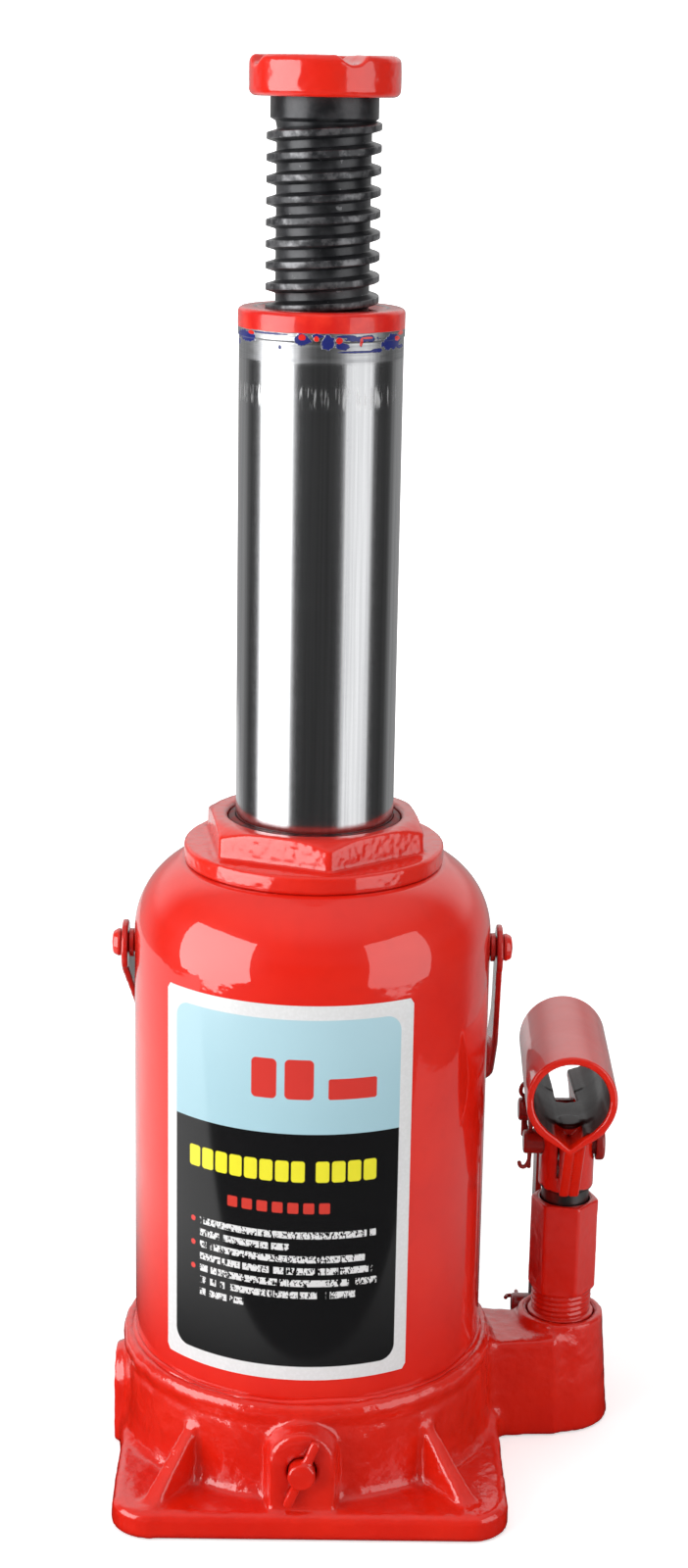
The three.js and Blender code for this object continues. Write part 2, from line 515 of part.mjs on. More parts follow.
// ---- pump ---------------------------------------------------------------
const atPump = move(PUMP_X, PUMP_Y, 0);
put('pump_washer', ring(4, 11, 8.05, 9.6, 20, 0, atPump), BRASS);
{
  const neckR = 10.1;
  const prof = [[0, 9.7], [10, 9.7], [11.2, 10.9], [11.2, 38], [9.6, 39.6]];
  prof.push([neckR - 0.2, 40.4], [neckR - 0.2, 46.2]);
  prof.push([9.6, PUMP_HEX_Z0], [9.6, PUMP_HEX_Z0 + 1], [0, PUMP_HEX_Z0 + 1]);
  const hexR = PUMP_HEX_AF / Math.sqrt(3);
  const hex = prism(hexagon(PUMP_HEX_AF, 20), PUMP_HEX_Z0, PUMP_HEX_Z1);
  const limits = turned([[0, PUMP_HEX_Z0], [9.8, PUMP_HEX_Z0], [hexR + 0.2, PUMP_HEX_Z0 + 1.2], [hexR + 0.2, PUMP_HEX_Z1 - 1.2], [9.8, PUMP_HEX_Z1], [0, PUMP_HEX_Z1]], 20);
  let body = join(turned(prof, 20), hex.intersect(limits));
  body = cut(body, rod(PLUNGER_R + 0.25, 12.5, 100, 20), rod(2.6, 5, 13, 10), rod(9.1, 75.2, 78.7, 20));
  put('pump_body', body.transform([...atPump.elements]), RED);
}
put('pump_gland_ring', ring(PLUNGER_R + 0.2, 8.95, 75.3, 78.6, 20, 0, atPump), RUBBER);
{
  let p = join(
    turned([[0, 16], [7, 16], [PLUNGER_R, 17], [PLUNGER_R, 85.4], [0, 85.4]], 20, 0, atPump),
    turned([[0, 85], [7.9, 85], [8.4, 85.3], [FORK_R, 86.2], [FORK_R, 112], [0, 112]], 20, 0, atPump)
      .intersect(prism([[PIN_P[0] - 12, 80], [PIN_P[0] + 12, 80], [PIN_P[0] + 12, 92], [PIN_P[0] + 8.9, 97], ...arc(PIN_P[0], PIN_P[1], 8.4, 0, 180, 12), [PIN_P[0] - 8.9, 97], [PIN_P[0] - 12, 92]], -14, 14, alongX(PUMP_X))),
  );
  p = cut(
    p,
    prism([[PUMP_Y - 14, 90], [PUMP_Y + 14, 90], [PUMP_Y + 14, 120], [PUMP_Y - 14, 120]], -3.75, 3.75, alongX(PUMP_X)),
    rod(PIN_R + 0.08, -12, 12, 16, 0, alongX(PUMP_X, PIN_P[0], PIN_P[1])),
    ring(6.1, 12, 19.9, 23.1, 20, 0, atPump),
  );
  put('plunger', p, STEEL);
}
put('plunger_seal', ring(6.2, PLUNGER_R + 0.15, 20, 23, 20, 0, atPump), RUBBER);

// Headed pin across X with a cross hole for its cotter; the hole stands
// upright unless it is laid over by an angle about the pin.
const lay = (x, y, z, a) => move(x, y, z).multiply(new THREE.Matrix4().makeRotationX(rad(a)));
function crossPin(name, [y, z], a = 0) {
  const m = alongX(PUMP_X, y, z);
  let pin = turned([
    [0, -PIN_TAIL], [3.1, -PIN_TAIL], [PIN_R, -PIN_TAIL + 0.7], [PIN_R, 9.5], [5.6, 9.5], [5.9, 9.9], [5.9, 11.6], [5.1, 12.4], [0, 12.4],
  ], 16, 0, m);
  pin = cut(pin, rod(1.35, -8, 8, 8, 0, lay(PUMP_X - COTTER_X, y, z, a)));
  put(name, pin, { color: 0x7a1712, roughness: 0.45, metalness: 0.2 });
}
function cotter(name, [y, z], a = 0) {
  const m = lay(PUMP_X - COTTER_X, y, z, a);
  const leg = rod(1.05, -6.6, 5.6, 6, 0, m);
  const eye = solid(new THREE.TorusGeometry(2.1, 1.0, 6, 10), m.clone().multiply(move(0, 0, 7.0)).multiply(new THREE.Matrix4().makeRotationX(Math.PI / 2)));
  const tail = wireAlong([[0, 0, -5.8], [0, 0, -7.4], [-0.9, -0.4, -8.9], [-2.6, -0.8, -9.3], [-4.2, -1.0, -8.4]], 0.95, 6, m);
  put(name, join(leg, eye, tail), { color: 0x5c1510, roughness: 0.5, metalness: 0.3 });
}
crossPin('plunger_pin', PIN_P);
cotter('plunger_pin_cotter', PIN_P);
crossPin('link_pin_upper', PIN_B);
cotter('link_pin_upper_cotter', PIN_B);
crossPin('link_pin_lower', PIN_A, 90);
cotter('link_pin_lower_cotter', PIN_A, 90);

function linkPlate(name, side) {
  const x0 = side > 0 ? LINK_X : -LINK_X - LINK_T;
  const outline = [...arc(PIN_B[0], PIN_B[1], LINK_W, 0, 180, 9), ...arc(PIN_A[0], PIN_A[1], LINK_W, 180, 360, 9)];
  const m = alongX(PUMP_X);
  const plate = cut(
    prism(outline, x0, x0 + LINK_T, m),
    rod(PIN_R + 0.3, -12, 12, 16, 0, alongX(PUMP_X, PIN_A[0], PIN_A[1])),
    rod(PIN_R + 0.3, -12, 12, 16, 0, alongX(PUMP_X, PIN_B[0], PIN_B[1])),
  );
  put(name, plate, { color: 0x8d1610, roughness: 0.4, metalness: 0.1 });
}
linkPlate('link_plate_left', -1);
linkPlate('link_plate_right', 1);

// ---- handle socket ------------------------------------------------------
{
  const level = (dx, yaw) => move(PUMP_X + dx, SOCKET_Y0, SOCKET_Z)
    .multiply(new THREE.Matrix4().makeRotationX(-rad(SOCKET_TILT)))
    .multiply(new THREE.Matrix4().makeRotationZ(-rad(yaw)))
    .multiply(alongBack(0, 0, 0));
  const tilt = level(SOCKET_SHIFT, SOCKET_YAW);
  const outer = turned([[0, 0], [SOCKET_R - 0.6, 0], [SOCKET_R, 0.6], [SOCKET_R, SOCKET_LEN - 0.6], [SOCKET_R - 0.6, SOCKET_LEN], [0, SOCKET_LEN]], 28, 0, tilt);
  const bore = rod(SOCKET_R - SOCKET_WALL, -5, SOCKET_LEN + 5, 28, 0, tilt);
  const [py, pz] = PIN_P;
  const [by, bz] = PIN_B;
  // pressed seam under the tube: wide where it leaves the tube, then flat
  const tongue = prism([
    [-13, 116], [-12.4, 110.2], [-6, 100.5], [0.5, 90], [3.2, 85.3], [4.2, 84.9], [5.6, 85.2], [5.8, 92.8],
    ...arc(py, pz, 8.3, 212, 350, 9), [23.4, 104], [22.2, 116],
  ], -TONGUE_T / 2, TONGUE_T / 2, alongX(PUMP_X));
  const vee = prism([[-6.4, -13.2], [-3.35, -17.0], [3.35, -17.0], [6.4, -13.2], [0, -8]], 0.4, 14, level(-0.9, 0));
  const ear = (x0) => prism([
    [34.2, 114], [34.2, 108], [33.1, 104.6], ...arc(by, bz, 7.4, 170, 320, 8), [52, 103.5], [58.5, 108], [60, 113],
  ], x0, x0 + 2.6, alongX(PUMP_X));
  let s = join(outer, tongue, vee, ear(3.5), ear(-6.1));
  const slot = prism([[-3.5, -20], [3.5, -20], [3.5, -6], [-3.5, -6]], 37.4, SOCKET_LEN + 5, level(0, 0));
  s = cut(s, bore, slot,
    rod(5.4, -12, 12, 20, 0, alongX(PUMP_X, py, pz)),
    rod(PIN_R + 0.08, -12, 12, 16, 0, alongX(PUMP_X, by, bz)));
  put('handle_socket', s, RED);
}

// ---- release valve ------------------------------------------------------
{
  const m = alongFront(VALVE_X, 0, VALVE_Z);
  const stem = turned([
    [0, 47.2], [1.6, 47.2], [4.4, 50.6], [4.4, 57.9], [3.3, 57.9], [3.3, 60.4], [4.4, 60.4], [4.4, 72.6], [3.8, 73.2], [0, 73.2],
  ], 16, 0, m);
  const wing = prism([[-3.2, -12.4], [3.2, -12.4], ...arc(0, 9.4, 3.2, 0, 180, 6)].map(([x, y]) => [x, y]), 69.6, 72.2, m.clone().multiply(new THREE.Matrix4().makeRotationZ(rad(-25))));
  put('release_valve', join(stem, wing), RED);
  put('release_valve_o_ring', ring(3.4, 4.45, 58, 60.3, 16, 0, m), RUBBER);
  put('release_ball', solid(new THREE.SphereGeometry(2.4, 10, 7), move(VALVE_X, -44.5, VALVE_Z)), STEEL);
}

// ---- overload valve in the left pad -------------------------------------
{
  const m = alongLeft(0, 0, VALVE_Z);
  let plug = turned([[0, 59], [4.95, 59], [4.95, LEFT_PAD_X + 0.5], [4.4, LEFT_PAD_X + 1.1], [0, LEFT_PAD_X + 1.1]], 16, 0, m);
  plug = plug.subtract(prism([[-6, -0.7], [6, -0.7], [6, 0.7], [-6, 0.7]], LEFT_PAD_X - 0.7, 70, m));
  put('overload_plug', plug, { color: 0x9c1811, roughness: 0.4, metalness: 0.2 });
  put('overload_spring', coil(3.1, 0.55, 4.6, 3, alongLeft(-53.6, 0, VALVE_Z)), SPRING);
  put('overload_ball', solid(new THREE.SphereGeometry(2.2, 8, 6), move(-50.6, 0, VALVE_Z)), STEEL);
}

// ---- check valves under the base ----------------------------------------
{
  put('suction_plug', rod(4.5, 0.4, 4.2, 16, 0, move(42, -16, 0)), STEEL);
  put('suction_ball', solid(new THREE.SphereGeometry(2.6, 8, 6), move(42, -16, 8.9)), STEEL);
  put('delivery_plug', rod(4.5, 0.4, 3.6, 16, 0, move(44, 16, 0)), STEEL);
  put('delivery_spring', coil(2.8, 0.5, 2.6, 2, move(44, 16, 4.2)), SPRING);
  put('delivery_ball', solid(new THREE.SphereGeometry(2.2, 8, 6), move(44, 16, 9.7)), STEEL);
  put('oil_strainer', turned([[0, FLOOR_Z + 0.05], [5, FLOOR_Z + 0.05], [5, FLOOR_Z + 1], [3.6, FLOOR_Z + 2.2], [0, FLOOR_Z + 2.2]], 16, 0, move(42, -16, 0)), BRASS);
}

// ---- filler plug --------------------------------------------------------
put('filler_plug', turned([
  [0, 52.0], [4.7, 52.0], [4.9, 53.2], [4.05, 53.6], [4.05, 57.9], [6.6, 57.9], [6.9, 58.6], [6.3, 60.8], [4.6, 61.8], [0, 62],
], 14, 0, alongBack(0, 0, 165)), RUBBER);

// ---- carry handle -------------------------------------------------------
function stud(name, m) {
  put(name, turned([
    [0, 52.6], [4.4, 52.6], [4.4, 53.6], [3, 53.7], [3, 57.7], [4.5, 57.7], [4.5, 59.2], [3, 59.2], [3, 61.9], [4.2, 61.9], [4.4, 62.3], [4.4, 64], [3.5, 64.8], [0, 64.8],
  ], 14, 0, m), RED);
}
stud('handle_stud_right', alongX(0, 0, STUD_Z));
stud('handle_stud_left', alongLeft(0, 0, STUD_Z));
{
  // flat strap bent to a U, drawn lying along +Y from the pivots
  const half = STRAP_T / 2;
  const bend = 12;
  const path = (off, lean) => {
    const out = [];
    const r = bend + off;
    out.push([STRAP_X + off, -12]);
    if (lean) out.push([STRAP_X + off, 4], [STRAP_X + off - lean, 60]);
    for (let i = 0; i <= 6; i++) {
      const a = rad((90 * i) / 6);
      out.push([STRAP_X - bend - lean + r * Math.cos(a), STRAP_LEN - bend + r * Math.sin(a)]);
    }
    return out;
  };
  const left = (off) => path(off, STRAP_LEAN).map(([x, y]) => [-x, y]);
  const outline = [...path(half, -STRAP_SPLAY), ...left(half).reverse(), ...left(-half), ...path(-half, -STRAP_SPLAY).reverse()];
  const flat = prism(outline, -STRAP_W / 2, STRAP_W / 2);
  // rounded eyes at the two ends
  const side = [...arc(0, 0, 10.4, 128, 232, 8), [20, -STRAP_W / 2], [STRAP_LEN + 10, -STRAP_W / 2], [STRAP_LEN + 10, STRAP_W / 2], [20, STRAP_W / 2]];
  const limit = prism(side, -80, 80, alongX());
  const swing = move(0, 0, STUD_Z).multiply(new THREE.Matrix4().makeRotationX(-rad(STRAP_DROP)));
  let strap = flat.intersect(limit);
  strap = cut(strap, rod(3.3, -80, 80, 16, 0, alongX()));
  put('carry_handle', strap.transform([...swing.elements]), RED);
}

export default root;
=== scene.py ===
import math

import bmesh
import bpy
import numpy as np
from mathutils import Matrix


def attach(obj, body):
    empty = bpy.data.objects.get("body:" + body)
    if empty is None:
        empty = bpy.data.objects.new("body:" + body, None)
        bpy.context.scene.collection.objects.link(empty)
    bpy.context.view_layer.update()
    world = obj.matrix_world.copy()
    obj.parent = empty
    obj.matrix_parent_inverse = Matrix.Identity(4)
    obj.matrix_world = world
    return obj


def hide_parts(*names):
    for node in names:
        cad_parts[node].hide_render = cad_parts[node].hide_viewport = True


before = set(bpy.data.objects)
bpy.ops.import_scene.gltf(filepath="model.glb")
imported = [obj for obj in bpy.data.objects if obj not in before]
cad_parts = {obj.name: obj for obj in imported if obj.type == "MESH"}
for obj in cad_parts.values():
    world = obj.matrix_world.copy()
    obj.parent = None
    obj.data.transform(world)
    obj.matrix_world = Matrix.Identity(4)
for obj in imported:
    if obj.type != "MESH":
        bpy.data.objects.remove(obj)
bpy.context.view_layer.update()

import openvdb as vdb
from mathutils import Matrix, Vector

FINE = 1.0
PI = math.pi

# ---------------------------------------------------------------- dimensions (mm)
TANK_R = 57.5
PX, PY = 87.0, 16.0            # pump axis
P_PIN = (16.0, 99.7)
B_PIN = (40.0, 101.7)
A_PIN = (40.0, 27.6)
VX, VZ = -1.0, 22.8            # release valve axis
STUD_Z = 174.0
TILT = math.radians(4.0)
PITCH = 6.35


def smooth(x):
    x = np.clip(x, 0.0, 1.0)
    return x * x * (3 - 2 * x)


# ---------------------------------------------------------------- value noise
_rng = np.random.RandomState(7)
_LAT = _rng.rand(64, 64, 64).astype(np.float32)


def noise3(p, scale):
    """Smooth value noise in -1..1 at points p (n, 3); scale is the size of one bump."""
    q = p / scale + 1000.0
    i = np.floor(q).astype(np.int64)
    f = smooth(q - i)
    out = np.zeros(len(p), np.float64)
    for dx in (0, 1):
        for dy in (0, 1):
            for dz in (0, 1):
                w = (f[:, 0] if dx else 1 - f[:, 0]) * (f[:, 1] if dy else 1 - f[:, 1]) * (f[:, 2] if dz else 1 - f[:, 2])
                out += w * _LAT[(i[:, 0] + dx) % 64, (i[:, 1] + dy) % 64, (i[:, 2] + dz) % 64]
    return out * 2 - 1


# ---------------------------------------------------------------- distance fields
def ext(d2, w, r=0.0):
    a, b = d2 + r, w + r
    return np.minimum(np.maximum(a, b), 0) + np.sqrt(np.maximum(a, 0) ** 2 + np.maximum(b, 0) ** 2) - r


def smin(a, b, k):
    h = np.clip(0.5 + 0.5 * (b - a) / k, 0, 1)
    return b * (1 - h) + a * h - k * h * (1 - h)


def smax(a, b, k):
    return -smin(-a, -b, k)


def slab(z, z0, z1):
    return np.abs(z - (z0 + z1) / 2) - (z1 - z0) / 2


def rrect(x, y, hx, hy, r):
    qx, qy = np.abs(x) - hx + r, np.abs(y) - hy + r
    return np.minimum(np.maximum(qx, qy), 0) + np.sqrt(np.maximum(qx, 0) ** 2 + np.maximum(qy, 0) ** 2) - r


def poly(x, y, pts):
    """Signed distance to a closed polygon."""
    x, y = np.broadcast_arrays(x, y)
    d = np.full(x.shape, 1e9, np.float32)
    s = np.ones(x.shape, np.float32)
    n = len(pts)
    for i in range(n):
        ax, ay = pts[i]
        bx, by = pts[i - 1]
        ex, ey = bx - ax, by - ay
        wx, wy = x - ax, y - ay
        t = np.clip((wx * ex + wy * ey) / (ex * ex + ey * ey), 0, 1)
        qx, qy = wx - ex * t, wy - ey * t
        d = np.minimum(d, qx * qx + qy * qy)
        c1, c2, c3 = y >= ay, y < by, ex * wy > ey * wx
        flip = (c1 & c2 & c3) | (~c1 & ~c2 & ~c3)
        s = np.where(flip, -s, s)
    return s * np.sqrt(d)


def arc(cx, cy, r, a0, a1, k):
    return [(cx + r * math.cos(math.radians(a0 + (a1 - a0) * i / k)), cy + r * math.sin(math.radians(a0 + (a1 - a0) * i / k))) for i in range(k + 1)]


def field_mesh(f, lo, hi, h):
    """Points and quads of the zero level of f(x, y, z), in mm."""
    h = h * FINE
    lo = np.array(lo, float) - 2 * h
    hi = np.array(hi, float) + 2 * h
    n = np.ceil((hi - lo) / h).astype(int) + 1
    xs = (lo[0] + h * np.arange(n[0])).astype(np.float32)[:, None, None]
    ys = (lo[1] + h * np.arange(n[1])).astype(np.float32)[None, :, None]
    zs = (lo[2] + h * np.arange(n[2])).astype(np.float32)[None, None, :]
    out = np.empty(tuple(n), np.float32)
    step = max(1, int(6e6 / (n[1] * n[2])))
    for a in range(0, n[0], step):
        out[a:a + step] = np.broadcast_to(f(xs[a:a + step], ys, zs), out[a:a + step].shape)
    band = 3 * h
    np.clip(out, -band, band, out=out)
    g = vdb.FloatGrid(float(band))
    g.copyFromArray(out)
    pts, quads = g.convertToQuads(isovalue=0.0)
    pts = np.asarray(pts, np.float64) * h + lo
    quads = np.asarray(quads, np.int64)
    # outward winding
    a, b, c = pts[quads[:, 0]], pts[quads[:, 1]], pts[quads[:, 2]]
    d = pts[quads[:, 3]]
    vol = np.einsum("ij,ij->i", a, np.cross(b, c)).sum() + np.einsum("ij,ij->i", a, np.cross(c, d)).sum()
    if vol < 0:
        quads = quads[:, ::-1]
    return pts, quads


def normals_of(pts, faces):
    a, b, c, d = (pts[faces[:, i]] for i in range(4))
    fn = np.cross(c - a, d - b)
    vn = np.zeros_like(pts)
    for i in range(4):
        np.add.at(vn, faces[:, i], fn)
    return vn / np.maximum(np.linalg.norm(vn, axis=1, keepdims=True), 1e-12)


# ---------------------------------------------------------------- mesh objects
def make(name, pts, faces, body, mat, cad=(), uv=None, sharp=None):
    me = bpy.data.meshes.new(name)
    pts = np.asarray(pts, float) * 0.001
    me.from_pydata(pts.tolist(), [], [list(map(int, f)) for f in faces])
    me.validate()
    me.shade_smooth()
    if sharp is not None:
        me.set_sharp_from_angle(angle=math.radians(sharp))
    if uv is not None:
        lay = me.uv_layers.new(name="uv")
        idx = np.zeros(len(me.loops), np.int64)
        me.loops.foreach_get("vertex_index", idx)
        lay.data.foreach_set("uv", np.asarray(uv, np.float32)[idx].ravel())
    me.materials.append(mat)
    o = bpy.data.objects.new(name, me)
    bpy.context.scene.collection.objects.link(o)
    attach(o, body)
    if cad:
        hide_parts(*cad)
    return o


def soften(profile, r, k=4, closed=False):
    """Rounds every corner of an (r, z) profile; a corner may carry its own radius as a third value."""
    n = len(profile)
    out = []
    for i, p in enumerate(profile):
        if not closed and i in (0, n - 1):
            out.append((p[0], p[1]))
            continue
        a, b = profile[i - 1], profile[(i + 1) % n]
        rr = p[2] if len(p) > 2 else r
        va, vb = np.array([a[0] - p[0], a[1] - p[1]]), np.array([b[0] - p[0], b[1] - p[1]])
        la, lb = np.linalg.norm(va), np.linalg.norm(vb)
        if rr <= 0 or la < 1e-6 or lb < 1e-6:
            out.append((p[0], p[1]))
            continue
        va, vb = va / la, vb / lb
        cosang = float(np.clip(va @ vb, -1, 1))
        half = math.acos(cosang) / 2
        if half > math.radians(86):
            out.append((p[0], p[1]))
            continue
        t = min(rr / math.tan(half), la * 0.48, lb * 0.48)
        rad = t * math.tan(half)
        bis = (va + vb) / np.linalg.norm(va + vb)
        c = np.array([p[0], p[1]]) + bis * rad / math.sin(half)
        s, e = np.array([p[0], p[1]]) + va * t, np.array([p[0], p[1]]) + vb * t
        a0, a1 = math.atan2(*(s - c)[::-1]), math.atan2(*(e - c)[::-1])
        d = (a1 - a0 + PI) % (2 * PI) - PI
        for j in range(k + 1):
            g = a0 + d * j / k
            out.append((c[0] + rad * math.cos(g), c[1] + rad * math.sin(g)))
    return out


def densify(profile, step, closed=False):
    out = []
    n = len(profile)
    for i in range(n if closed else n - 1):
        a, b = np.array(profile[i][:2]), np.array(profile[(i + 1) % n][:2])
        m = max(1, int(math.ceil(np.linalg.norm(b - a) / step)))
        for j in range(m):
            out.append(tuple(a + (b - a) * j / m))
    if not closed:
        out.append(tuple(profile[-1][:2]))
    return out


def revolve(profile, seg=96, closed=False):
    """Points and faces of a turned piece about +Z. An open profile starts and ends on the axis."""
    prof = [(max(p[0], 0.0), p[1]) for p in profile]
    pts, faces, rows = [], [], []
    ang = np.arange(seg) * 2 * PI / seg
    for r, z in prof:
        if r < 1e-6 and not closed:
            rows.append([len(pts)])
            pts.append((0, 0, z))
        else:
            rows.append(list(range(len(pts), len(pts) + seg)))
            pts.extend(zip(r * np.sin(ang), -r * np.cos(ang), np.full(seg, z)))
    m = len(prof)
    for i in range(m if closed else m - 1):
        a, b = rows[i], rows[(i + 1) % m]
        if len(a) == 1 and len(b) == 1:
            continue
        for j in range(seg):
            k = (j + 1) % seg
            if len(a) == 1:
                faces.append((a[0], b[k], b[j]))
            elif len(b) == 1:
                faces.append((a[j], a[k], b[0]))
            else:
                faces.append((a[j], a[k], b[k], b[j]))
    pts = np.array(pts, float)
    # outward winding by signed volume
    vol = 0.0
    for f in faces:
        for t in range(1, len(f) - 1):
            vol += pts[f[0]] @ np.cross(pts[f[t]], pts[f[t + 1]])
    if vol < 0:
        faces = [tuple(reversed(f)) for f in faces]
    return pts, faces


def place(pts, m):
    pts = np.asarray(pts, float)
    m = np.array(m)
    return pts @ m[:3, :3].T + m[:3, 3]


def along_x(x=0, y=0, z=0):      # local Z -> +X, local X -> +Y, local Y -> +Z
    return Matrix(((0, 0, 1, x), (1, 0, 0, y), (0, 1, 0, z), (0, 0, 0, 1)))


def along_left(x=0, y=0, z=0):   # local Z -> -X
    return Matrix(((0, 0, -1, x), (-1, 0, 0, y), (0, 1, 0, z), (0, 0, 0, 1)))


def along_front(x=0, y=0, z=0):  # local Z -> -Y, local X -> +X, local Y -> +Z
    return Matrix(((1, 0, 0, x), (0, 0, -1, y), (0, 1, 0, z), (0, 0, 0, 1)))


def along_back(x=0, y=0, z=0):   # local Z -> +Y
    return Matrix(((-1, 0, 0, x), (0, 0, 1, y), (0, 1, 0, z), (0, 0, 0, 1)))


def sweep(points, radius, k=12, cap=True, steps=6):
    """Round wire through points, with domed ends."""
    p = [Vector(q) for q in points]
    path = []
    n = len(p)
    for i in range(n - 1):
        p0, p1, p2, p3 = p[max(i - 1, 0)], p[i], p[i + 1], p[min(i + 2, n - 1)]
        for j in range(steps):
            t = j / steps
            path.append(0.5 * ((2 * p1) + (p2 - p0) * t + (2 * p0 - 5 * p1 + 4 * p2 - p3) * t * t + (-p0 + 3 * p1 - 3 * p2 + p3) * t ** 3))
    path.append(p[-1])
    d0 = (path[1] - path[0]).normalized()
    d1 = (path[-1] - path[-2]).normalized()
    radii = [radius] * len(path)
    path = [path[0] - d0 * radius * 0.75, path[0] - d0 * radius * 0.5] + path + [path[-1] + d1 * radius * 0.5, path[-1] + d1 * radius * 0.75]
    radii = [radius * 0.45, radius * 0.82] + radii + [radius * 0.82, radius * 0.45]
    pts, faces = [], []
    t = (path[1] - path[0]).normalized()
    u = t.orthogonal().normalized()
    for i, q in enumerate(path):
        t = (path[min(i + 1, len(path) - 1)] - path[max(i - 1, 0)]).normalized()
        u = (u - t * u.dot(t)).normalized()
        v = t.cross(u)
        for j in range(k):
            a = 2 * PI * j / k
            pts.append(tuple(q + (u * math.cos(a) + v * math.sin(a)) * radii[i]))
    for i in range(len(path) - 1):
        for j in range(k):
            m = (j + 1) % k
            faces.append((i * k + j, i * k + m, (i + 1) * k + m, (i + 1) * k + j))
    faces.append(tuple(reversed(range(k))))
    e = (len(path) - 1) * k
    faces.append(tuple(range(e, e + k)))
    return np.array(pts), faces


def join_parts(*parts):
    pts, faces, off = [], [], 0
    for p, f in parts:
        pts.append(np.asarray(p, float))
        faces.extend(tuple(int(i) + off for i in q) for q in f)
        off += len(p)
    return np.vstack(pts), faces


# ---------------------------------------------------------------- materials
class Nodes:
    def __init__(self, name):
        self.mat = bpy.data.materials.new(name)
        self.mat.use_nodes = True
        self.t = self.mat.node_tree
        self.t.nodes.clear()
        self.out = self.t.nodes.new("ShaderNodeOutputMaterial")
        self.bsdf = self.t.nodes.new("ShaderNodeBsdfPrincipled")
        self.t.links.new(self.bsdf.outputs[0], self.out.inputs[0])
        self.coord = self.t.nodes.new("ShaderNodeTexCoord").outputs["Object"]

    def new(self, kind, **kw):
        n = self.t.nodes.new(kind)
        for k, v in kw.items():
            setattr(n, k, v)
        return n

    def link(self, a, b):
        self.t.links.new(a, b)

    def set(self, sock, v):
        if isinstance(v, bpy.types.NodeSocket):
            self.t.links.new(v, sock)
        elif v is not None:
            if hasattr(sock.default_value, "__len__") and not hasattr(v, "__len__"):
                v = [v] * len(sock.default_value)
            sock.default_value = v

    def put(self, name, v):
        if isinstance(v, (tuple, list)) and len(v) == 3:
            v = (*v, 1.0)
        self.set(self.bsdf.inputs[name], v)

    def math(self, op, a, b=None, c=None, clamp=False):
        n = self.new("ShaderNodeMath", operation=op, use_clamp=clamp)
        self.set(n.inputs[0], a)
        if b is not None:
            self.set(n.inputs[1], b)
        if c is not None:
            self.set(n.inputs[2], c)
        return n.outputs[0]

    def add(self, a, b):
        return self.math("ADD", a, b)

    def sub(self, a, b):
        return self.math("SUBTRACT", a, b)

    def mul(self, a, b):
        return self.math("MULTIPLY", a, b)

    def xyz(self, v=None):
        n = self.new("ShaderNodeSeparateXYZ")
        self.link(v or self.coord, n.inputs[0])
        return n.outputs

    def vec(self, x, y, z):
        n = self.new("ShaderNodeCombineXYZ")
        for i, v in enumerate((x, y, z)):
            self.set(n.inputs[i], v)
        return n.outputs[0]

    def scaled(self, sx, sy, sz, v=None):
        n = self.new("ShaderNodeMapping")
        self.link(v or self.coord, n.inputs[0])
        n.inputs["Scale"].default_value = (sx, sy, sz)
        return n.outputs[0]

    def noise(self, scale, detail=2.0, rough=0.5, v=None, distort=0.0):
        n = self.new("ShaderNodeTexNoise")
        self.link(v or self.coord, n.inputs["Vector"])
        n.inputs["Scale"].default_value = scale
        n.inputs["Detail"].default_value = detail
        n.inputs["Roughness"].default_value = rough
        n.inputs["Distortion"].default_value = distort
        return n.outputs[0]

    def voronoi(self, scale, v=None, feature="F1", out=0):
        n = self.new("ShaderNodeTexVoronoi", feature=feature)
        self.link(v or self.coord, n.inputs["Vector"])
        n.inputs["Scale"].default_value = scale
        return n.outputs[out]

    def ramp(self, v, lo, hi, a=0.0, b=1.0):
        """Smooth step of v from lo to hi, mapped to a..b."""
        n = self.new("ShaderNodeMapRange", interpolation_type="SMOOTHSTEP", clamp=True)
        self.set(n.inputs[0], v)
        for i, q in zip((1, 2, 3, 4), (lo, hi, a, b)):
            self.set(n.inputs[i], q)
        return n.outputs[0]

    def band(self, v, lo, hi, soft):
        """1 between lo and hi with soft edges."""
        return self.mul(self.ramp(v, lo - soft, lo + soft), self.ramp(v, hi - soft, hi + soft, 1.0, 0.0))

    def mix(self, f, a, b):
        n = self.new("ShaderNodeMix", data_type="RGBA")
        self.set(n.inputs[0], f)
        for i, v in ((6, a), (7, b)):
            if isinstance(v, (tuple, list)) and len(v) == 3:
                v = (*v, 1.0)
            self.set(n.inputs[i], v)
        return n.outputs[2]

    def mixf(self, f, a, b):
        n = self.new("ShaderNodeMix", data_type="FLOAT")
        self.set(n.inputs[0], f)
        self.set(n.inputs[2], a)
        self.set(n.inputs[3], b)
        return n.outputs[0]

    def bump(self, height, dist, strength=1.0, normal=None):
        n = self.new("ShaderNodeBump")
        self.link(height, n.inputs["Height"])
        n.inputs["Distance"].default_value = dist
        n.inputs["Strength"].default_value = strength
        if normal is not None:
            self.link(normal, n.inputs["Normal"])
        return n.outputs[0]

    def normal(self, v):
        self.link(v, self.bsdf.inputs["Normal"])
        if "Coat Normal" in self.bsdf.inputs:
            self.link(v, self.bsdf.inputs["Coat Normal"])


RED_HI = (0.84, 0.020, 0.004)
RED = (0.74, 0.011, 0.002)
RED_LO = (0.42, 0.004, 0.0015)


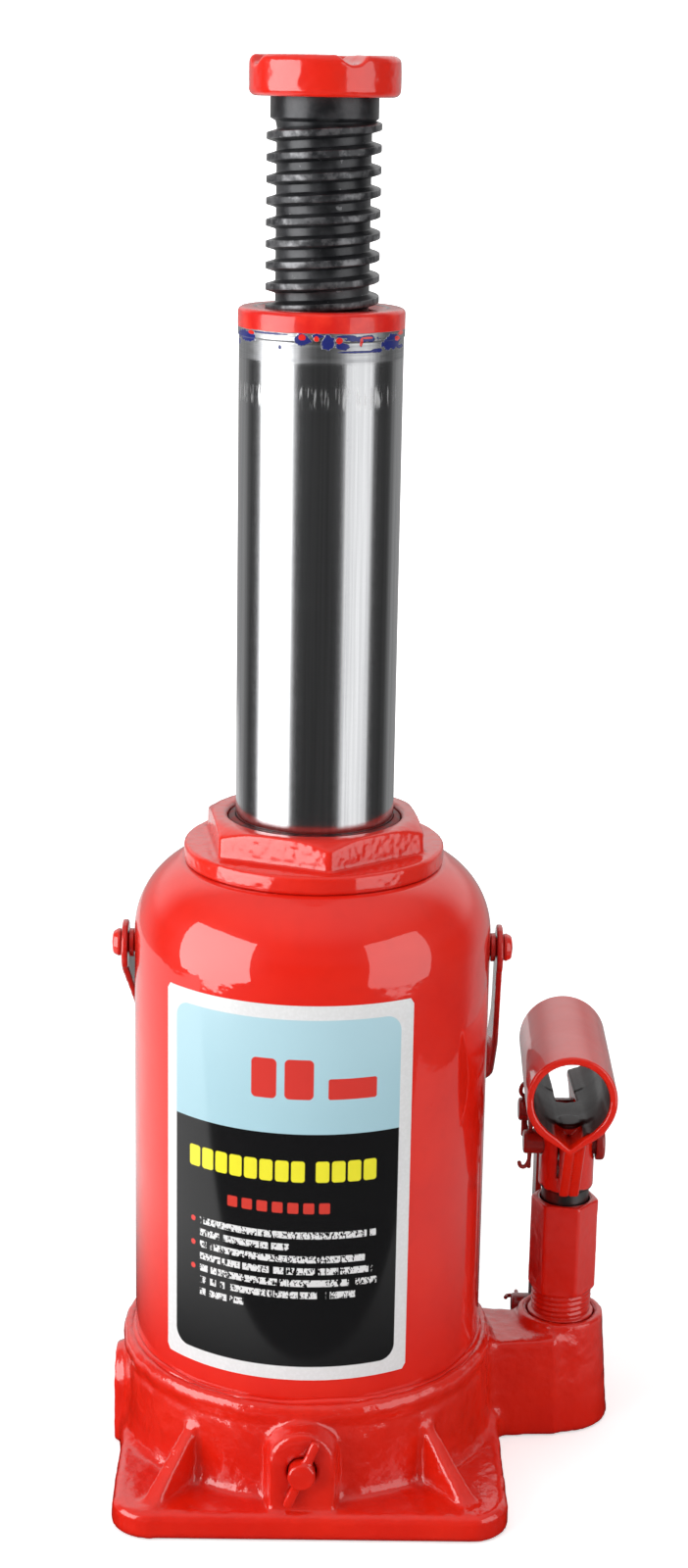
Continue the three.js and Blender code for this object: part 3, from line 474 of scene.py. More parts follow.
def paint(name, cast=0.0, peel=1.0, rough=0.20, tint=1.0, base=RED, low=RED_LO, high=RED_HI, hollow_shade=0.5, gloss=0.0):
    """Thick glossy paint: orange peel, slow colour drift, dust nibs, and painted shade that darkens the colour in the
    hollows.
    """
    m = Nodes(name)
    drift = m.noise(28.0, 3.0, 0.55)
    fine = m.noise(160.0, 2.0, 0.5)
    col = m.mix(m.ramp(drift, 0.35, 0.70, 0.0, 0.55), base, high)
    col = m.mix(m.ramp(fine, 0.52, 0.74, 0.0, 0.06), col, low)
    # painted shade: ambient occlusion pulls the colour towards the low red in hollows, corners and gaps
    ao = m.new("ShaderNodeAmbientOcclusion", samples=4)
    ao.inputs["Distance"].default_value = 0.006
    col = m.mix(m.ramp(ao.outputs["AO"], 0.25, 0.85, hollow_shade, 0.0), col, low)
    m.put("Base Color", col)
    m.put("Roughness", m.ramp(m.noise(70.0, 2.0), 0.3, 0.7, rough + 0.10, rough + 0.18))
    m.put("Specular IOR Level", 0.18)
    m.put("Coat Weight", 0.95)
    m.put("Coat Roughness", m.ramp(drift, 0.3, 0.7, 0.02 + gloss, 0.045 + gloss))
    m.put("Coat IOR", 1.72)
    n = m.bump(m.noise(330.0, 1.5, 0.45), 0.00012 * peel, 0.35)
    nibs = m.ramp(m.voronoi(170.0), 0.0, 0.16, 1.0, 0.0)
    keep = m.ramp(m.noise(60.0, 1.0), 0.62, 0.70)
    n = m.bump(m.mul(nibs, keep), 0.00014, 0.35, n)
    if cast:
        n = m.bump(m.noise(210.0, 4.0, 0.62), 0.0006 * cast, 0.5, n)
    m.normal(n)
    return m


paint_smooth = paint("paint_smooth", 0.0, 0.4, base=(0.80, 0.011, 0.002), high=(0.90, 0.020, 0.004)).mat
paint_cast = paint("paint_cast", 1.0, 1.6, 0.22, hollow_shade=0.75).mat
paint_nut = paint("paint_nut", 0.25, 1.2, 0.22, base=(0.80, 0.012, 0.002), high=(0.90, 0.022, 0.004), hollow_shade=0.7, gloss=0.09).mat
paint_forged = paint("paint_forged", 0.3, 1.2, 0.24, hollow_shade=0.7).mat


def tube_paint():
    """Handle tube: painted outside; inside, bare metal whose colour is pushed to near black as painted shade."""
    m = paint("paint_tube", 0.0, 0.7, 0.20, hollow_shade=0.7)
    x, y, z = m.xyz()
    ct, st = math.cos(TILT), math.sin(TILT)
    dy, dz = m.add(y, 0.014), m.sub(z, 0.126)
    al = m.sub(m.mul(dy, ct), m.mul(dz, st))
    up = m.add(m.mul(dy, st), m.mul(dz, ct))
    lat = m.sub(m.sub(x, (PX - 2.1) * 0.001), m.mul(al, 0.0454))
    r = m.math("SQRT", m.add(m.mul(lat, lat), m.mul(up, up)))
    # painted shade: inside the tube the colour goes to near black, with a thin coat
    inside_shade = m.mul(m.ramp(r, 0.0127, 0.0131, 1.0, 0.0), m.ramp(al, 0.0008, 0.0020))
    src = m.bsdf.inputs["Base Color"].links[0].from_socket
    m.put("Base Color", m.mix(m.mul(inside_shade, 0.94), src, (0.012, 0.004, 0.004)))
    m.put("Coat Weight", m.mixf(inside_shade, 0.85, 0.1))
    return m.mat


paint_tube = tube_paint()
paint_strap = paint("paint_strap", 0.12, 0.8, 0.26, base=(0.55, 0.010, 0.006), low=(0.16, 0.004, 0.004), hollow_shade=0.7).mat


def pin_paint():
    m = paint("paint_pin", 0.2, 0.8, 0.32, base=(0.30, 0.012, 0.008), low=(0.05, 0.004, 0.004), high=(0.48, 0.02, 0.01), hollow_shade=0.8)
    return m.mat


paint_pin = pin_paint()


def collar_paint():
    """Ram: ground steel below, the painted collar above, with drips and smeared primer under its edge."""
    m = Nodes("ram_finish")
    x, y, z = m.xyz()
    az = m.math("ARCTAN2", x, m.mul(y, -1.0))
    around = m.mul(az, 0.0252)
    wrap = m.vec(m.mul(x, 1.0), y, 0.0)
    # nearly straight lower edge of the paint, with spots of paint and blue primer below it
    wave = m.noise(140.0, 2.0, 0.5, v=m.vec(x, y, 0.0))
    edge = m.add(0.37205, m.mul(wave, 0.0007))
    red = m.ramp(m.sub(z, edge), -0.00012, 0.00012)
    top = m.ramp(z, 0.37785, 0.37822)
    warp = m.mul(m.sub(m.noise(420.0, 2.0, 0.55), 0.5), 0.95)
    warp2 = m.mul(m.sub(m.noise(430.0, 2.0, 0.55, v=m.scaled(1.0, 1.0, 1.3)), 0.5), 0.9)

    def spot(az_deg, z_mm, rx, rz, wob=1.0):
        """Soft-edged blob at an azimuth and height, half sizes in mm."""
        du = m.mul(m.sub(az, math.radians(az_deg)), 25.2 / rx)
        dv = m.mul(m.sub(z, z_mm * 0.001), 1000.0 / rz)
        d = m.math("SQRT", m.add(m.mul(du, du), m.mul(dv, dv)))
        return m.ramp(m.add(d, m.mul(m.add(warp, warp2), wob)), 0.86, 1.06, 1.0, 0.0)

    def most(parts):
        out = parts[0]
        for q in parts[1:]:
            out = m.math("MAXIMUM", out, q)
        return out

    blue = most([
        spot(5.0, 369.6, 2.1, 2.6), spot(-13, 370.6, 2.9, 2.0), spot(14, 368.6, 2.6, 1.1, 1.3), spot(30, 370.9, 5.0, 1.0, 1.5), spot(-3, 371.7, 2.2, 0.7), spot(57, 369.3, 5.4, 2.2, 1.2), spot(72, 367.6, 4.0, 0.6),
        spot(-65, 370.4, 5.6, 1.7, 1.2), spot(-80, 368.1, 2.2, 0.9), spot(28, 367.0, 8.3, 0.34, 0.6), spot(41, 367.2, 3.0, 0.6, 1.2), spot(17, 371.6, 4.0, 0.35, 1.2),
        spot(-29.3, 368.0, 0.5, 0.6, 0.3), spot(-38, 371.9, 6.0, 0.30, 1.0), spot(120, 369.5, 4.5, 1.6), spot(165, 370.6, 6.0, 1.1), spot(-130, 369.9, 5.0, 1.3), spot(-100, 371.4, 6.0, 0.7),
    ])
    drops = most([
        spot(-13, 371.25, 1.25, 1.0, 0.5), spot(-3.4, 370.9, 0.85, 0.85, 0.4), spot(12, 370.4, 1.05, 0.95, 0.5), spot(64, 370.2, 1.6, 0.8, 1.0),
        spot(28, 370.0, 0.5, 1.4, 1.3), spot(32, 371.1, 2.0, 0.35, 1.0), spot(70, 371.6, 3.0, 0.7, 1.0), spot(-56, 371.6, 1.6, 0.6, 0.8), spot(140, 370.6, 1.4, 1.0), spot(-150, 370.9, 2.0, 0.9),
    ])
    red = m.math("MAXIMUM", red, drops)
    # steel: fine circular grinding, vertical scuffs, a pale scuffed band
    rings = m.noise(1.0, 2.0, 0.6, v=m.scaled(6.0, 6.0, 5200.0))
    rings2 = m.noise(1.0, 1.0, 0.5, v=m.scaled(20.0, 20.0, 1500.0))
    streak = m.noise(1.0, 3.0, 0.6, v=m.scaled(900.0, 900.0, 9.0))
    scuffz = m.mul(m.band(z, 0.3505, 0.3560, 0.0016), m.ramp(m.noise(1.0, 2.0, 0.6, v=m.scaled(1300.0, 1300.0, 90.0)), 0.50, 0.66))
    steel = m.mix(m.ramp(streak, 0.35, 0.70), (0.46, 0.465, 0.475), (0.56, 0.565, 0.575))
    steel = m.mix(m.mul(scuffz, 0.7), steel, (0.93, 0.93, 0.93))
    turnedz = m.ramp(z, 0.3628, 0.3640)
    lines = m.ramp(m.noise(1.0, 1.0, 0.5, v=m.scaled(8.0, 8.0, 2600.0)), 0.40, 0.60)
    steel = m.mix(m.mul(turnedz, m.mul(lines, 0.35)), steel, (0.34, 0.35, 0.37))
    col = m.mix(blue, steel, (0.016, 0.024, 0.18))
    redcol = m.mix(m.ramp(m.noise(180.0, 2.0), 0.4, 0.7), (0.76, 0.012, 0.006), (0.88, 0.028, 0.012))
    col = m.mix(red, col, redcol)
    darktop = m.mul(top, m.ramp(m.math("SQRT", m.add(m.mul(x, x), m.mul(y, y))), 0.0202, 0.0212, 1.0, 0.0))
    col = m.mix(darktop, col, (0.05, 0.012, 0.010))
    m.put("Base Color", col)
    painted = m.math("MAXIMUM", red, blue)
    m.put("Metallic", m.sub(1.0, painted))
    rr = m.add(m.ramp(rings, 0.2, 0.8, 0.15, 0.21), m.mul(scuffz, 0.32))
    rr = m.add(rr, m.mul(turnedz, m.add(m.mul(lines, 0.10), 0.12)))
    m.put("Roughness", m.mixf(painted, rr, 0.26))
    m.put("Anisotropic", m.mixf(painted, 0.25, 0.0))
    m.put("Anisotropic Rotation", 0.0)
    tan = m.new("ShaderNodeTangent", direction_type="RADIAL", axis="Z")
    m.link(tan.outputs[0], m.bsdf.inputs["Tangent"])
    m.put("Coat Weight", m.mul(red, 0.5))
    n = m.bump(rings, 0.0000035, 0.6)
    n = m.bump(rings2, 0.000004, 0.6, n)
    n = m.bump(painted, 0.0002, 0.7, n)
    m.normal(n)
    return m.mat


ram_finish = collar_paint()


def screw_steel():
    m = Nodes("screw_black_oxide")
    c = m.noise(130.0, 4.0, 0.6)
    col = m.mix(m.ramp(c, 0.35, 0.70), (0.020, 0.021, 0.024), (0.062, 0.063, 0.068))
    x, y, z = m.xyz()
    rr = m.math("SQRT", m.add(m.mul(x, x), m.mul(y, y)))
    crest = m.ramp(rr, 0.01695, 0.01726)
    wear = m.mul(crest, m.ramp(m.noise(240.0, 3.0, 0.6), 0.42, 0.66))
    col = m.mix(m.mul(wear, 0.65), col, (0.24, 0.24, 0.25))
    chips = m.ramp(m.noise(420.0, 2.0, 0.5), 0.70, 0.74)
    col = m.mix(m.mul(chips, 0.5), col, (0.30, 0.30, 0.31))
    m.put("Base Color", col)
    m.put("Metallic", 0.55)
    m.put("Roughness", m.mixf(wear, m.ramp(c, 0.3, 0.7, 0.34, 0.50), 0.28))
    m.put("Coat Weight", 0.45)
    m.put("Coat Roughness", 0.26)
    n = m.bump(m.noise(520.0, 3.0, 0.6), 0.00006, 0.5)
    n = m.bump(m.noise(1.0, 2.0, 0.5, v=m.scaled(60.0, 60.0, 2600.0)), 0.00002, 0.5, n)
    m.normal(n)
    return m.mat


def metal(name, lo, hi, rough, line=(0, 0, 0), metallic=1.0):
    m = Nodes(name)
    c = m.noise(150.0, 3.0, 0.6)
    m.put("Base Color", m.mix(m.ramp(c, 0.35, 0.7), lo, hi))
    m.put("Metallic", metallic)
    m.put("Roughness", m.ramp(m.noise(420.0, 3.0, 0.6), 0.3, 0.7, rough, rough + 0.14))
    n = m.bump(m.noise(1.0, 2.0, 0.6, v=m.scaled(*(line if any(line) else (700, 700, 700)))), 0.00002, 0.5)
    m.normal(n)
    return m.mat


def rubber(name="rubber_black"):
    m = Nodes(name)
    c = m.noise(300.0, 3.0, 0.6)
    m.put("Base Color", m.mix(m.ramp(c, 0.3, 0.7), (0.010, 0.010, 0.011), (0.030, 0.029, 0.028)))
    m.put("Roughness", m.ramp(c, 0.3, 0.7, 0.55, 0.75))
    m.normal(m.bump(m.noise(900.0, 2.0), 0.00005, 0.5))
    return m.mat


screw_mat = screw_steel()
steel_mat = metal("steel_ground", (0.56, 0.56, 0.57), (0.70, 0.70, 0.71), 0.20, (40, 40, 2400))
plunger_steel = metal("plunger_steel", (0.20, 0.20, 0.21), (0.42, 0.42, 0.43), 0.24, (40, 40, 2400))
copper_mat = metal("copper_alloy", (0.50, 0.26, 0.10), (0.62, 0.36, 0.15), 0.35)
rubber_mat = rubber()


def wiper_rubber():
    """Rubber lip caught by the red paint."""
    m = Nodes("rubber_oversprayed")
    c = m.noise(190.0, 3.0, 0.6)
    m.put("Base Color", m.mix(m.ramp(c, 0.35, 0.65), (0.05, 0.004, 0.004), (0.26, 0.008, 0.006)))
    m.put("Roughness", m.ramp(c, 0.3, 0.7, 0.35, 0.55))
    m.normal(m.bump(m.noise(900.0, 2.0), 0.00005, 0.5))
    return m.mat


wiper_mat = wiper_rubber()


def fork_finish():
    """Plunger head: painted above, bare dark steel rod below."""
    m = paint("plunger_finish", 0.25, 1.1, 0.24, hollow_shade=0.7)
    x, y, z = m.xyz()
    edge = m.add(0.0842, m.mul(m.ramp(m.noise(260.0, 2.0), 0.3, 0.7), 0.0016))
    bare = m.ramp(m.sub(z, edge), -0.0002, 0.0002, 1.0, 0.0)
    src = m.bsdf.inputs["Base Color"].links[0].from_socket
    m.put("Base Color", m.mix(bare, src, (0.16, 0.155, 0.155)))
    m.put("Metallic", bare)
    m.put("Coat Weight", m.mixf(bare, 0.85, 0.0))
    return m.mat


fork_mat = fork_finish()


def decal_film():
    """Printed film. uv.x is the distance round the tank from its left edge, uv.y the height, both in mm."""
    m = Nodes("decal_film")
    uvn = m.new("ShaderNodeUVMap", uv_map="uv")
    u, v, _ = m.xyz(uvn.outputs[0])

    def box(u0, u1, v0, v1, soft=0.12):
        return m.mul(m.band(u, u0, u1, soft), m.band(v, v0, v1, soft))

    def rbox(u0, u1, v0, v1, r, soft=0.15):
        cx, cy, hx, hy = (u0 + u1) / 2, (v0 + v1) / 2, (u1 - u0) / 2 - r, (v1 - v0) / 2 - r
        qx = m.math("MAXIMUM", m.sub(m.math("ABSOLUTE", m.sub(u, cx)), hx), 0.0)
        qy = m.math("MAXIMUM", m.sub(m.math("ABSOLUTE", m.sub(v, cy)), hy), 0.0)
        d = m.math("SQRT", m.add(m.mul(qx, qx), m.mul(qy, qy)))
        return m.ramp(d, r - soft, r + soft, 1.0, 0.0)

    W, H = 84.1, 125.0
    speck = m.noise(900.0, 2.0, 0.5)
    white = m.mix(m.ramp(speck, 0.4, 0.7), (0.80, 0.80, 0.80), (0.84, 0.84, 0.845))
    panel = rbox(4.4, W - 4.4, 4.6, H - 4.6, 5.2)
    split = 83.2
    lower = m.ramp(v, split - 0.12, split + 0.12, 1.0, 0.0)
    blue = m.mix(m.ramp(v, 83.0, 120.0), (0.42, 0.65, 0.73), (0.47, 0.70, 0.78))
    black = (0.0065, 0.0065, 0.0070)
    col = m.mix(lower, blue, black)
    # plain red blocks on the blue field
    redink = (0.70, 0.045, 0.035)
    for q in ((32.5, 40.5, 94.6, 107.6), (43.0, 52.0, 94.6, 107.6)):
        col = m.mix(rbox(*q, 1.6), col, redink)
    col = m.mix(rbox(56.5, 71.8, 94.6, 101.4, 0.8), col, redink)
    # title bar broken into plain blocks
    yellow = (0.90, 0.83, 0.04)
    x = 10.4
    for w in (4.2,) * 8:
        col = m.mix(rbox(x, x + w, 67.3, 74.3, 0.9), col, yellow)
        x += w + 0.8
    x += 2.6
    for w in (4.2,) * 4:
        col = m.mix(rbox(x, x + w, 67.3, 74.3, 0.9), col, yellow)
        x += w + 0.8
    # small heading
    x = 24.8
    for w in (3.4,) * 7:
        col = m.mix(rbox(x, x + w, 56.8, 60.4, 0.5), col, (0.66, 0.05, 0.035))
        x += w + 1.5
    # paragraph: rows of short dashes
    row_h = 4.05
    top = 50.6
    ends = (72.5, 45.0, 69.0, 71.5, 73.0, 66.0, 30.5)
    ink = (0.80, 0.80, 0.80)
    jag = m.noise(1.0, 0.0, 0.5, v=m.vec(m.mul(u, 2.6), m.mul(v, 2.2), 3.7))
    for i, e in enumerate(ends):
        v1 = top - i * row_h
        word = m.noise(1.0, 1.0, 0.5, v=m.vec(m.mul(u, 0.42), 11.0 + 7.3 * i, 0.0))
        letter = m.noise(1.0, 1.0, 0.5, v=m.vec(m.mul(u, 1.05), 5.0 + 3.1 * i, m.mul(v, 0.55)))
        mask = m.mul(m.ramp(word, 0.36, 0.39), m.ramp(m.add(letter, m.mul(m.sub(jag, 0.5), 0.5)), 0.40, 0.46))
        col = m.mix(m.mul(mask, box(14.6, e, v1 - 2.3, v1, 0.1)), col, ink)
        if i in (0, 2, 4):
            col = m.mix(rbox(11.0, 12.8, v1 - 2.1, v1 - 0.3, 0.88), col, (0.80, 0.05, 0.04))
    col = m.mix(panel, white, col)
    m.put("Base Color", col)
    m.put("Roughness", m.ramp(m.noise(40.0, 2.0), 0.3, 0.7, 0.08, 0.12))
    m.put("Specular IOR Level", 0.85)
    m.put("Coat Weight", 0.0)
    return m.mat


decal_mat = decal_film()

# ---------------------------------------------------------------- base casting
PLATE = [(-63.0, 72.0), (63.0, 72.0)]


def tomb(x, z, cx, cz, w):
    """Arch-topped outline: half circle of radius w at height cz over a straight-sided foot."""
    up = np.sqrt((x - cx) ** 2 + np.maximum(z - cz, 0) ** 2) - w
    return up


def base_field(x, y, z):
    r = np.sqrt(x * x + y * y)
    plate = ext(rrect(x - 1.8, y, 63.1, 72.0, 12.5), slab(z, -4.0, 9.0), 2.8)
    # gentle dishing of the top of the plate towards its rim
    wall_r = 61.0 + 0.030 * (41.0 - z) + 1.0 * smooth((17.0 - z) / 9.0)
    rim = 0.55 * np.exp(-((z - 37.6) / 2.0) ** 2) - 0.35 * np.exp(-((z - 33.6) / 1.3) ** 2)
    wall = ext(r - wall_r - rim, slab(z, -4.0, 41.0), 1.7)
    body = smin(plate, wall, 3.4)
    # corner gussets
    for sx in (-1, 1):
        for sy in (-1, 1):
            az = math.radians(36.6 if sx < 0 and sy < 0 else 39.5)
            c, s = math.sin(az), math.cos(az)
            rr = (x * sx) * c + (y * sy) * s
            t = -(x * sx) * s + (y * sy) * c
            top = np.where(rr < 60.0, 30.0, 30.0 - (rr - 60.0) * 0.905)
            half = 2.05 + 0.055 * np.maximum(29.0 - z, 0)
            d = ext(np.abs(t) - half, np.maximum((z - top) * 0.74, rr - 86.5), 1.1)
            d = np.maximum(d, 40.0 - rr)
            body = smin(body, d, 2.2)
    # arch pads at the front and the left, with draft
    for a, b, face, cz in ((x - VX, -y, 68.8, 25.0), (-y, -x, 64.4, 20.8)):
        depth = np.maximum(face - b, 0)
        w = 10.3 + np.minimum(depth, 14.0) * 0.17
        pad = ext(tomb(a, z, 0.0, cz, 0.0) - w, b - face, 1.25)
        pad = np.maximum(pad, 45.0 - b)
        body = smin(body, pad, 1.8)
    # pump boss, web and link lug
    q = np.sqrt((x - PX) ** 2 + (y - PY) ** 2)
    boss = ext(q - (14.2 + (39.0 - z) * 0.079), slab(z, -4.0, 39.0), 1.5)
    taper = (34.8 - z) * 0.03
    web = ext(poly(x, y, [(48, -5.9), (84, -1.4), (87, 6), (87, 20), (48, 25.6)]) - taper, slab(z, -4.0, 34.8), 1.5)
    lug = ext(poly(y, z, [(20, -4), (48.5, -4), (47.4, 10), (47.0, 22)] + arc(40, 27.6, 7, 0, 128, 10) + [(24, 34.5), (18, 34.5)]), np.abs(x - PX) - 6.2, 0.9)
    pump = smin(smin(boss, web, 4.5), lug, 1.2)
    pump = smax(pump, z - 39.0, 1.0)
    body = smin(body, pump, 4.0)
    # flat underside with a small broken edge
    body = smax(body, -z, 0.8)
    # seat for the tank, central pocket, pump bore, valve recess, bore for the overload plug
    body = smax(body, -np.maximum(r - 57.95, 30.0 - z), 0.5)
    body = smax(body, -np.maximum(r - 36.3, 14.0 - z), 0.5)
    body = smax(body, -np.maximum(q - (11.35 + np.maximum(z - 37.6, 0)), 8.0 - z), 0.4)
    vq = np.sqrt((x - VX) ** 2 + (z - VZ) ** 2)
    body = smax(body, -np.maximum(vq - 4.7, y + 65.2), 0.3)
    body = smax(body, -np.maximum(vq - 4.6, y + 48.0), 0.25)
    oq = np.sqrt(y * y + (z - VZ) ** 2)
    body = smax(body, -np.maximum(oq - 5.15, x + 58.0), 0.5)
    return body


pts, quads = field_mesh(base_field, (-68, -73, 0), (105, 73, 42), 0.95)
vn = normals_of(pts, quads)
up = np.abs(vn[:, 2])
bumps = 0.17 * noise3(pts, 7.5) + 0.13 * noise3(pts + 31.7, 3.3) + 0.08 * noise3(pts + 77.1, 1.9)
# long sags of paint down the walls
sag = np.maximum(noise3(pts * np.array([1, 1, 0.25]) + 11.0, 5.0), 0) * 0.22 * (1 - up)
guard = smooth((pts[:, 2] - 0.4) / 1.2)
pts = pts + vn * ((bumps + sag) * guard)[:, None]
pts[:, 2] = np.maximum(pts[:, 2], 0.0)
make("base_body", pts, quads, "base", paint_cast, ["base_casting"])

# ---------------------------------------------------------------- tank
prof = [(54.5, 32.2), (57.5, 32.2)]
prof += [(57.5, z) for z in np.linspace(36, 178, 44)]
for a in np.linspace(0, math.asin((203.5 - 180) / 26.0), 26):
    prof.append((31.5 + 26.0 * math.cos(a), 180 + 26.0 * math.sin(a)))
prof += [(36.0, 203.5), (31.8, 203.5), (31.6, 203.2), (31.6, 200.6)]
for a in np.linspace(math.asin((200.5 - 180) / 23.0), 0, 12):
    prof.append((31.5 + 23.0 * math.cos(a), 180 + 23.0 * math.sin(a)))
prof += [(54.5, z) for z in np.linspace(170, 45, 8)]
pts, faces = revolve(prof, 160, True)
n = pts / np.maximum(np.linalg.norm(pts * [1, 1, 0], axis=1, keepdims=True), 1e-6)
wob = 0.03 * noise3(pts, 30.0) + 0.004 * noise3(pts + 9.0, 12.0)
side = (np.linalg.norm(pts[:, :2], axis=1) > 42)[:, None]
pts = pts + np.where(side, n * [1, 1, 0] * wob[:, None], 0)
make("tank_shell", pts, faces, "base", paint_smooth, ["tank"])

# bead of sealant and paint where the tank enters the base
k = 150
ang = np.arange(k) * 2 * PI / k
ring_pts = []
sec = [(57.2, 39.6), (58.6, 39.7), (59.0, 40.6), (58.5, 41.35), (57.9, 41.7), (57.2, 41.9)]
for a in ang:
    w = 1 + 0.18 * math.sin(5 * a + 1) + 0.12 * math.sin(13 * a)
    for r, z in sec:
        rr = 57.2 + (r - 57.2) * (0.85 + 0.15 * w)
        ring_pts.append((rr * math.sin(a), -rr * math.cos(a), 39.6 + (z - 39.6) * w * 0.95))
faces = []
s = len(sec)
for i in range(k):
    j = (i + 1) % k
    for q in range(s):
        e = (q + 1) % s
        faces.append((i * s + q, j * s + q, j * s + e, i * s + e))
make("tank_seam_bead", ring_pts, faces, "base", paint_smooth)

# ---------------------------------------------------------------- decal
A0, A1, Z0, Z1 = math.radians(-50.8), math.radians(33.0), 48.6, 173.6
R_DECAL = 57.72
W_ARC = (A1 - A0) * TANK_R
rows, cols = 70, 72
out_pts, uv = [], []
CR = 1.2
for i in range(rows + 1):
    z = Z0 + (Z1 - Z0) * i / rows
    e = min(z - Z0, Z1 - z)
    ins = CR - math.sqrt(max(CR * CR - (CR - e) ** 2, 0)) if e < CR else 0.0
    for j in range(cols + 1):
        s = ins + (W_ARC - 2 * ins) * j / cols
        a = A0 + s / TANK_R
        out_pts.append((R_DECAL * math.sin(a), -R_DECAL * math.cos(a), z))
        uv.append((s, z - Z0))
faces = []
w = cols + 1
for i in range(rows):
    for j in range(cols):
        a = i * w + j
        faces.append((a, a + 1, a + w + 1, a + w))
# rim that closes the film down to the tank
rim_idx = [j for j in range(w)] + [i * w + cols for i in range(1, rows + 1)] + [rows * w + j for j in range(cols - 1, -1, -1)] + [i * w for i in range(rows - 1, 0, -1)]
inner = {}
for q in rim_idx:
    x, y, z = out_pts[q]
    f = 57.40 / R_DECAL
    inner[q] = len(out_pts)
    out_pts.append((x * f, y * f, z))
    uv.append(uv[q])
for a, b in zip(rim_idx, rim_idx[1:] + rim_idx[:1]):
    faces.append((b, a, inner[a], inner[b]))
# back of the film, so that it is a closed sheet
back = {}
for i in range(rows + 1):
    for j in range(w):
        q = i * w + j
        if q in inner:
            back[q] = inner[q]
        else:
            x, y, z = out_pts[q]
            f = 57.40 / R_DECAL
            back[q] = len(out_pts)
            out_pts.append((x * f, y * f, z))
            uv.append(uv[q])
for i in range(rows):
    for j in range(cols):
        a = i * w + j
        faces.append((back[a + w], back[a + w + 1], back[a + 1], back[a]))
make("decal_film", out_pts, faces, "base", decal_mat, ["decal"], uv=uv, sharp=40)

# ---------------------------------------------------------------- gland nut
HEX = math.radians(7.9)


def nut_field(x, y, z):
    r = np.sqrt(x * x + y * y)
    flange = ext(r - 41.6 - 0.0 * z, slab(z, 203.3, 209.5), 1.2)
    hexd = None
    for i in range(3):
        a = HEX + math.radians(30 + 60 * i)
        nx, ny = math.sin(a), -math.cos(a)
        d = np.abs(x * nx + y * ny) - 32.5
        hexd = d if hexd is None else smax(hexd, d, 1.4)
    hexd = ext(hexd, slab(z, 200.0, 218.8), 0.6)
    cone = (r - 32.6) * 0.5 + (z - 218.8) * 0.866
    hexd = smax(hexd, cone, 0.9)
    d = smin(flange, hexd, 1.6)
    d = np.minimum(d, np.maximum(r - 29.75, slab(z, 188.7, 206.0)))
    bore = r - (25.6 + 2.1 * (z > 213.6) + np.maximum(z - 217.9, 0) * 1.0)
    return smax(d, -bore, 0.3)


pts, quads = field_mesh(nut_field, (-43, -43, 188), (43, 43, 219.5), 0.55)
vn = normals_of(pts, quads)
outer = smooth((np.linalg.norm(pts[:, :2], axis=1) - 26.5) / 1.5)
rough = 0.05 * noise3(pts, 4.2) + 0.06 * noise3(pts + 5.0, 1.5)
pts = pts + vn * (rough * outer)[:, None]
make("gland_nut_body", pts, quads, "base", paint_nut, ["gland_nut"])
pts, faces = revolve(soften([(25.3, 213.8), (27.5, 213.8), (27.5, 217.6), (26.5, 218.1), (25.3, 218.3)], 0.25, 3, True), 120, True)
make("ram_wiper_lip", pts, faces, "base", wiper_mat, ["ram_wiper"])

# ---------------------------------------------------------------- ram
prof = soften([
    (0, 165.8), (12, 165.8), (12, 178), (29.7, 178), (29.7, 181.4), (27.6, 181.4), (27.6, 185.4), (29.7, 185.4), (29.7, 188.2), (25.2, 188.2),
    (25.2, 369.6), (25.5, 370.1), (25.5, 378.3, 1.5), (20.4, 378.3, 0.6), (18.2, 376.8), (18.2, 371.3), (17.75, 371.0), (17.75, 343.2), (18.4, 343.0), (18.4, 268.0), (15.0, 262.0), (0, 262.0)], 0.3, 4)
prof = densify(prof, 6.0)
pts, faces = revolve(prof, 192)
r = np.linalg.norm(pts[:, :2], axis=1)
lump = (0.10 * noise3(pts, 3.2) + 0.16 * np.maximum(noise3(pts * [1, 1, 0.4] + 3.0, 2.4), 0)) * smooth((pts[:, 2] - 370.3) / 0.8) * smooth((r - 20.6) / 1.0)
rad = pts * [1, 1, 0] / np.maximum(r, 1e-6)[:, None]
pts = pts + rad * np.maximum(lump, -0.12)[:, None]
make("ram_rod", pts, faces, "ram", ram_finish, ["ram"])

# ---------------------------------------------------------------- extension screw
SEG = 72
T_LO, T_HI = 339.3, 435.2
# one turn of the thread: fraction of the pitch, radius
KNOT = [(0.0, 14.3), (0.02, 14.35), (0.05, 14.7), (0.155, 17.0), (0.175, 17.22), (0.20, 17.3), (0.455, 17.3), (0.48, 17.22), (0.50, 17.0), (0.61, 14.7), (0.64, 14.35), (0.66, 14.3), (0.82, 14.28)]
K = len(KNOT)
ZS = 332.79
TURNS = 17
N_T = TURNS * SEG
pts, faces = [], []
for i in range(N_T + 1):
    a = 2 * PI * i / SEG
    for f, r in KNOT:
        z = ZS + PITCH * (i / SEG + f)
        fade = float(smooth((z - T_LO) / 1.8) * smooth((T_HI - z) / 2.8))
        rr = 14.2 + (r - 14.2) * fade
        pts.append((rr * math.sin(a), -rr * math.cos(a), min(max(z, T_LO), T_HI)))
for i in range(N_T):
    for k in range(K - 1):
        faces.append((i * K + k, (i + 1) * K + k, (i + 1) * K + k + 1, i * K + k + 1))
for i in range(N_T - SEG):
    faces.append((i * K + K - 1, (i + 1) * K + K - 1, (i + 1 + SEG) * K, (i + SEG) * K))
lo = len(pts)
pts.append((0, 0, T_LO))
loop = [i * K for i in range(SEG + 1)] + [k for k in range(K - 1, 0, -1)]
for a, b in zip(loop, loop[1:] + loop[:1]):
    faces.append((lo, b, a))
hi = len(pts)
pts.append((0, 0, T_HI))
loop = [i * K + K - 1 for i in range(N_T - SEG, N_T + 1)] + [N_T * K + k for k in range(K - 2, -1, -1)]
for a, b in zip(loop, loop[1:] + loop[:1]):
    faces.append((hi, a, b))
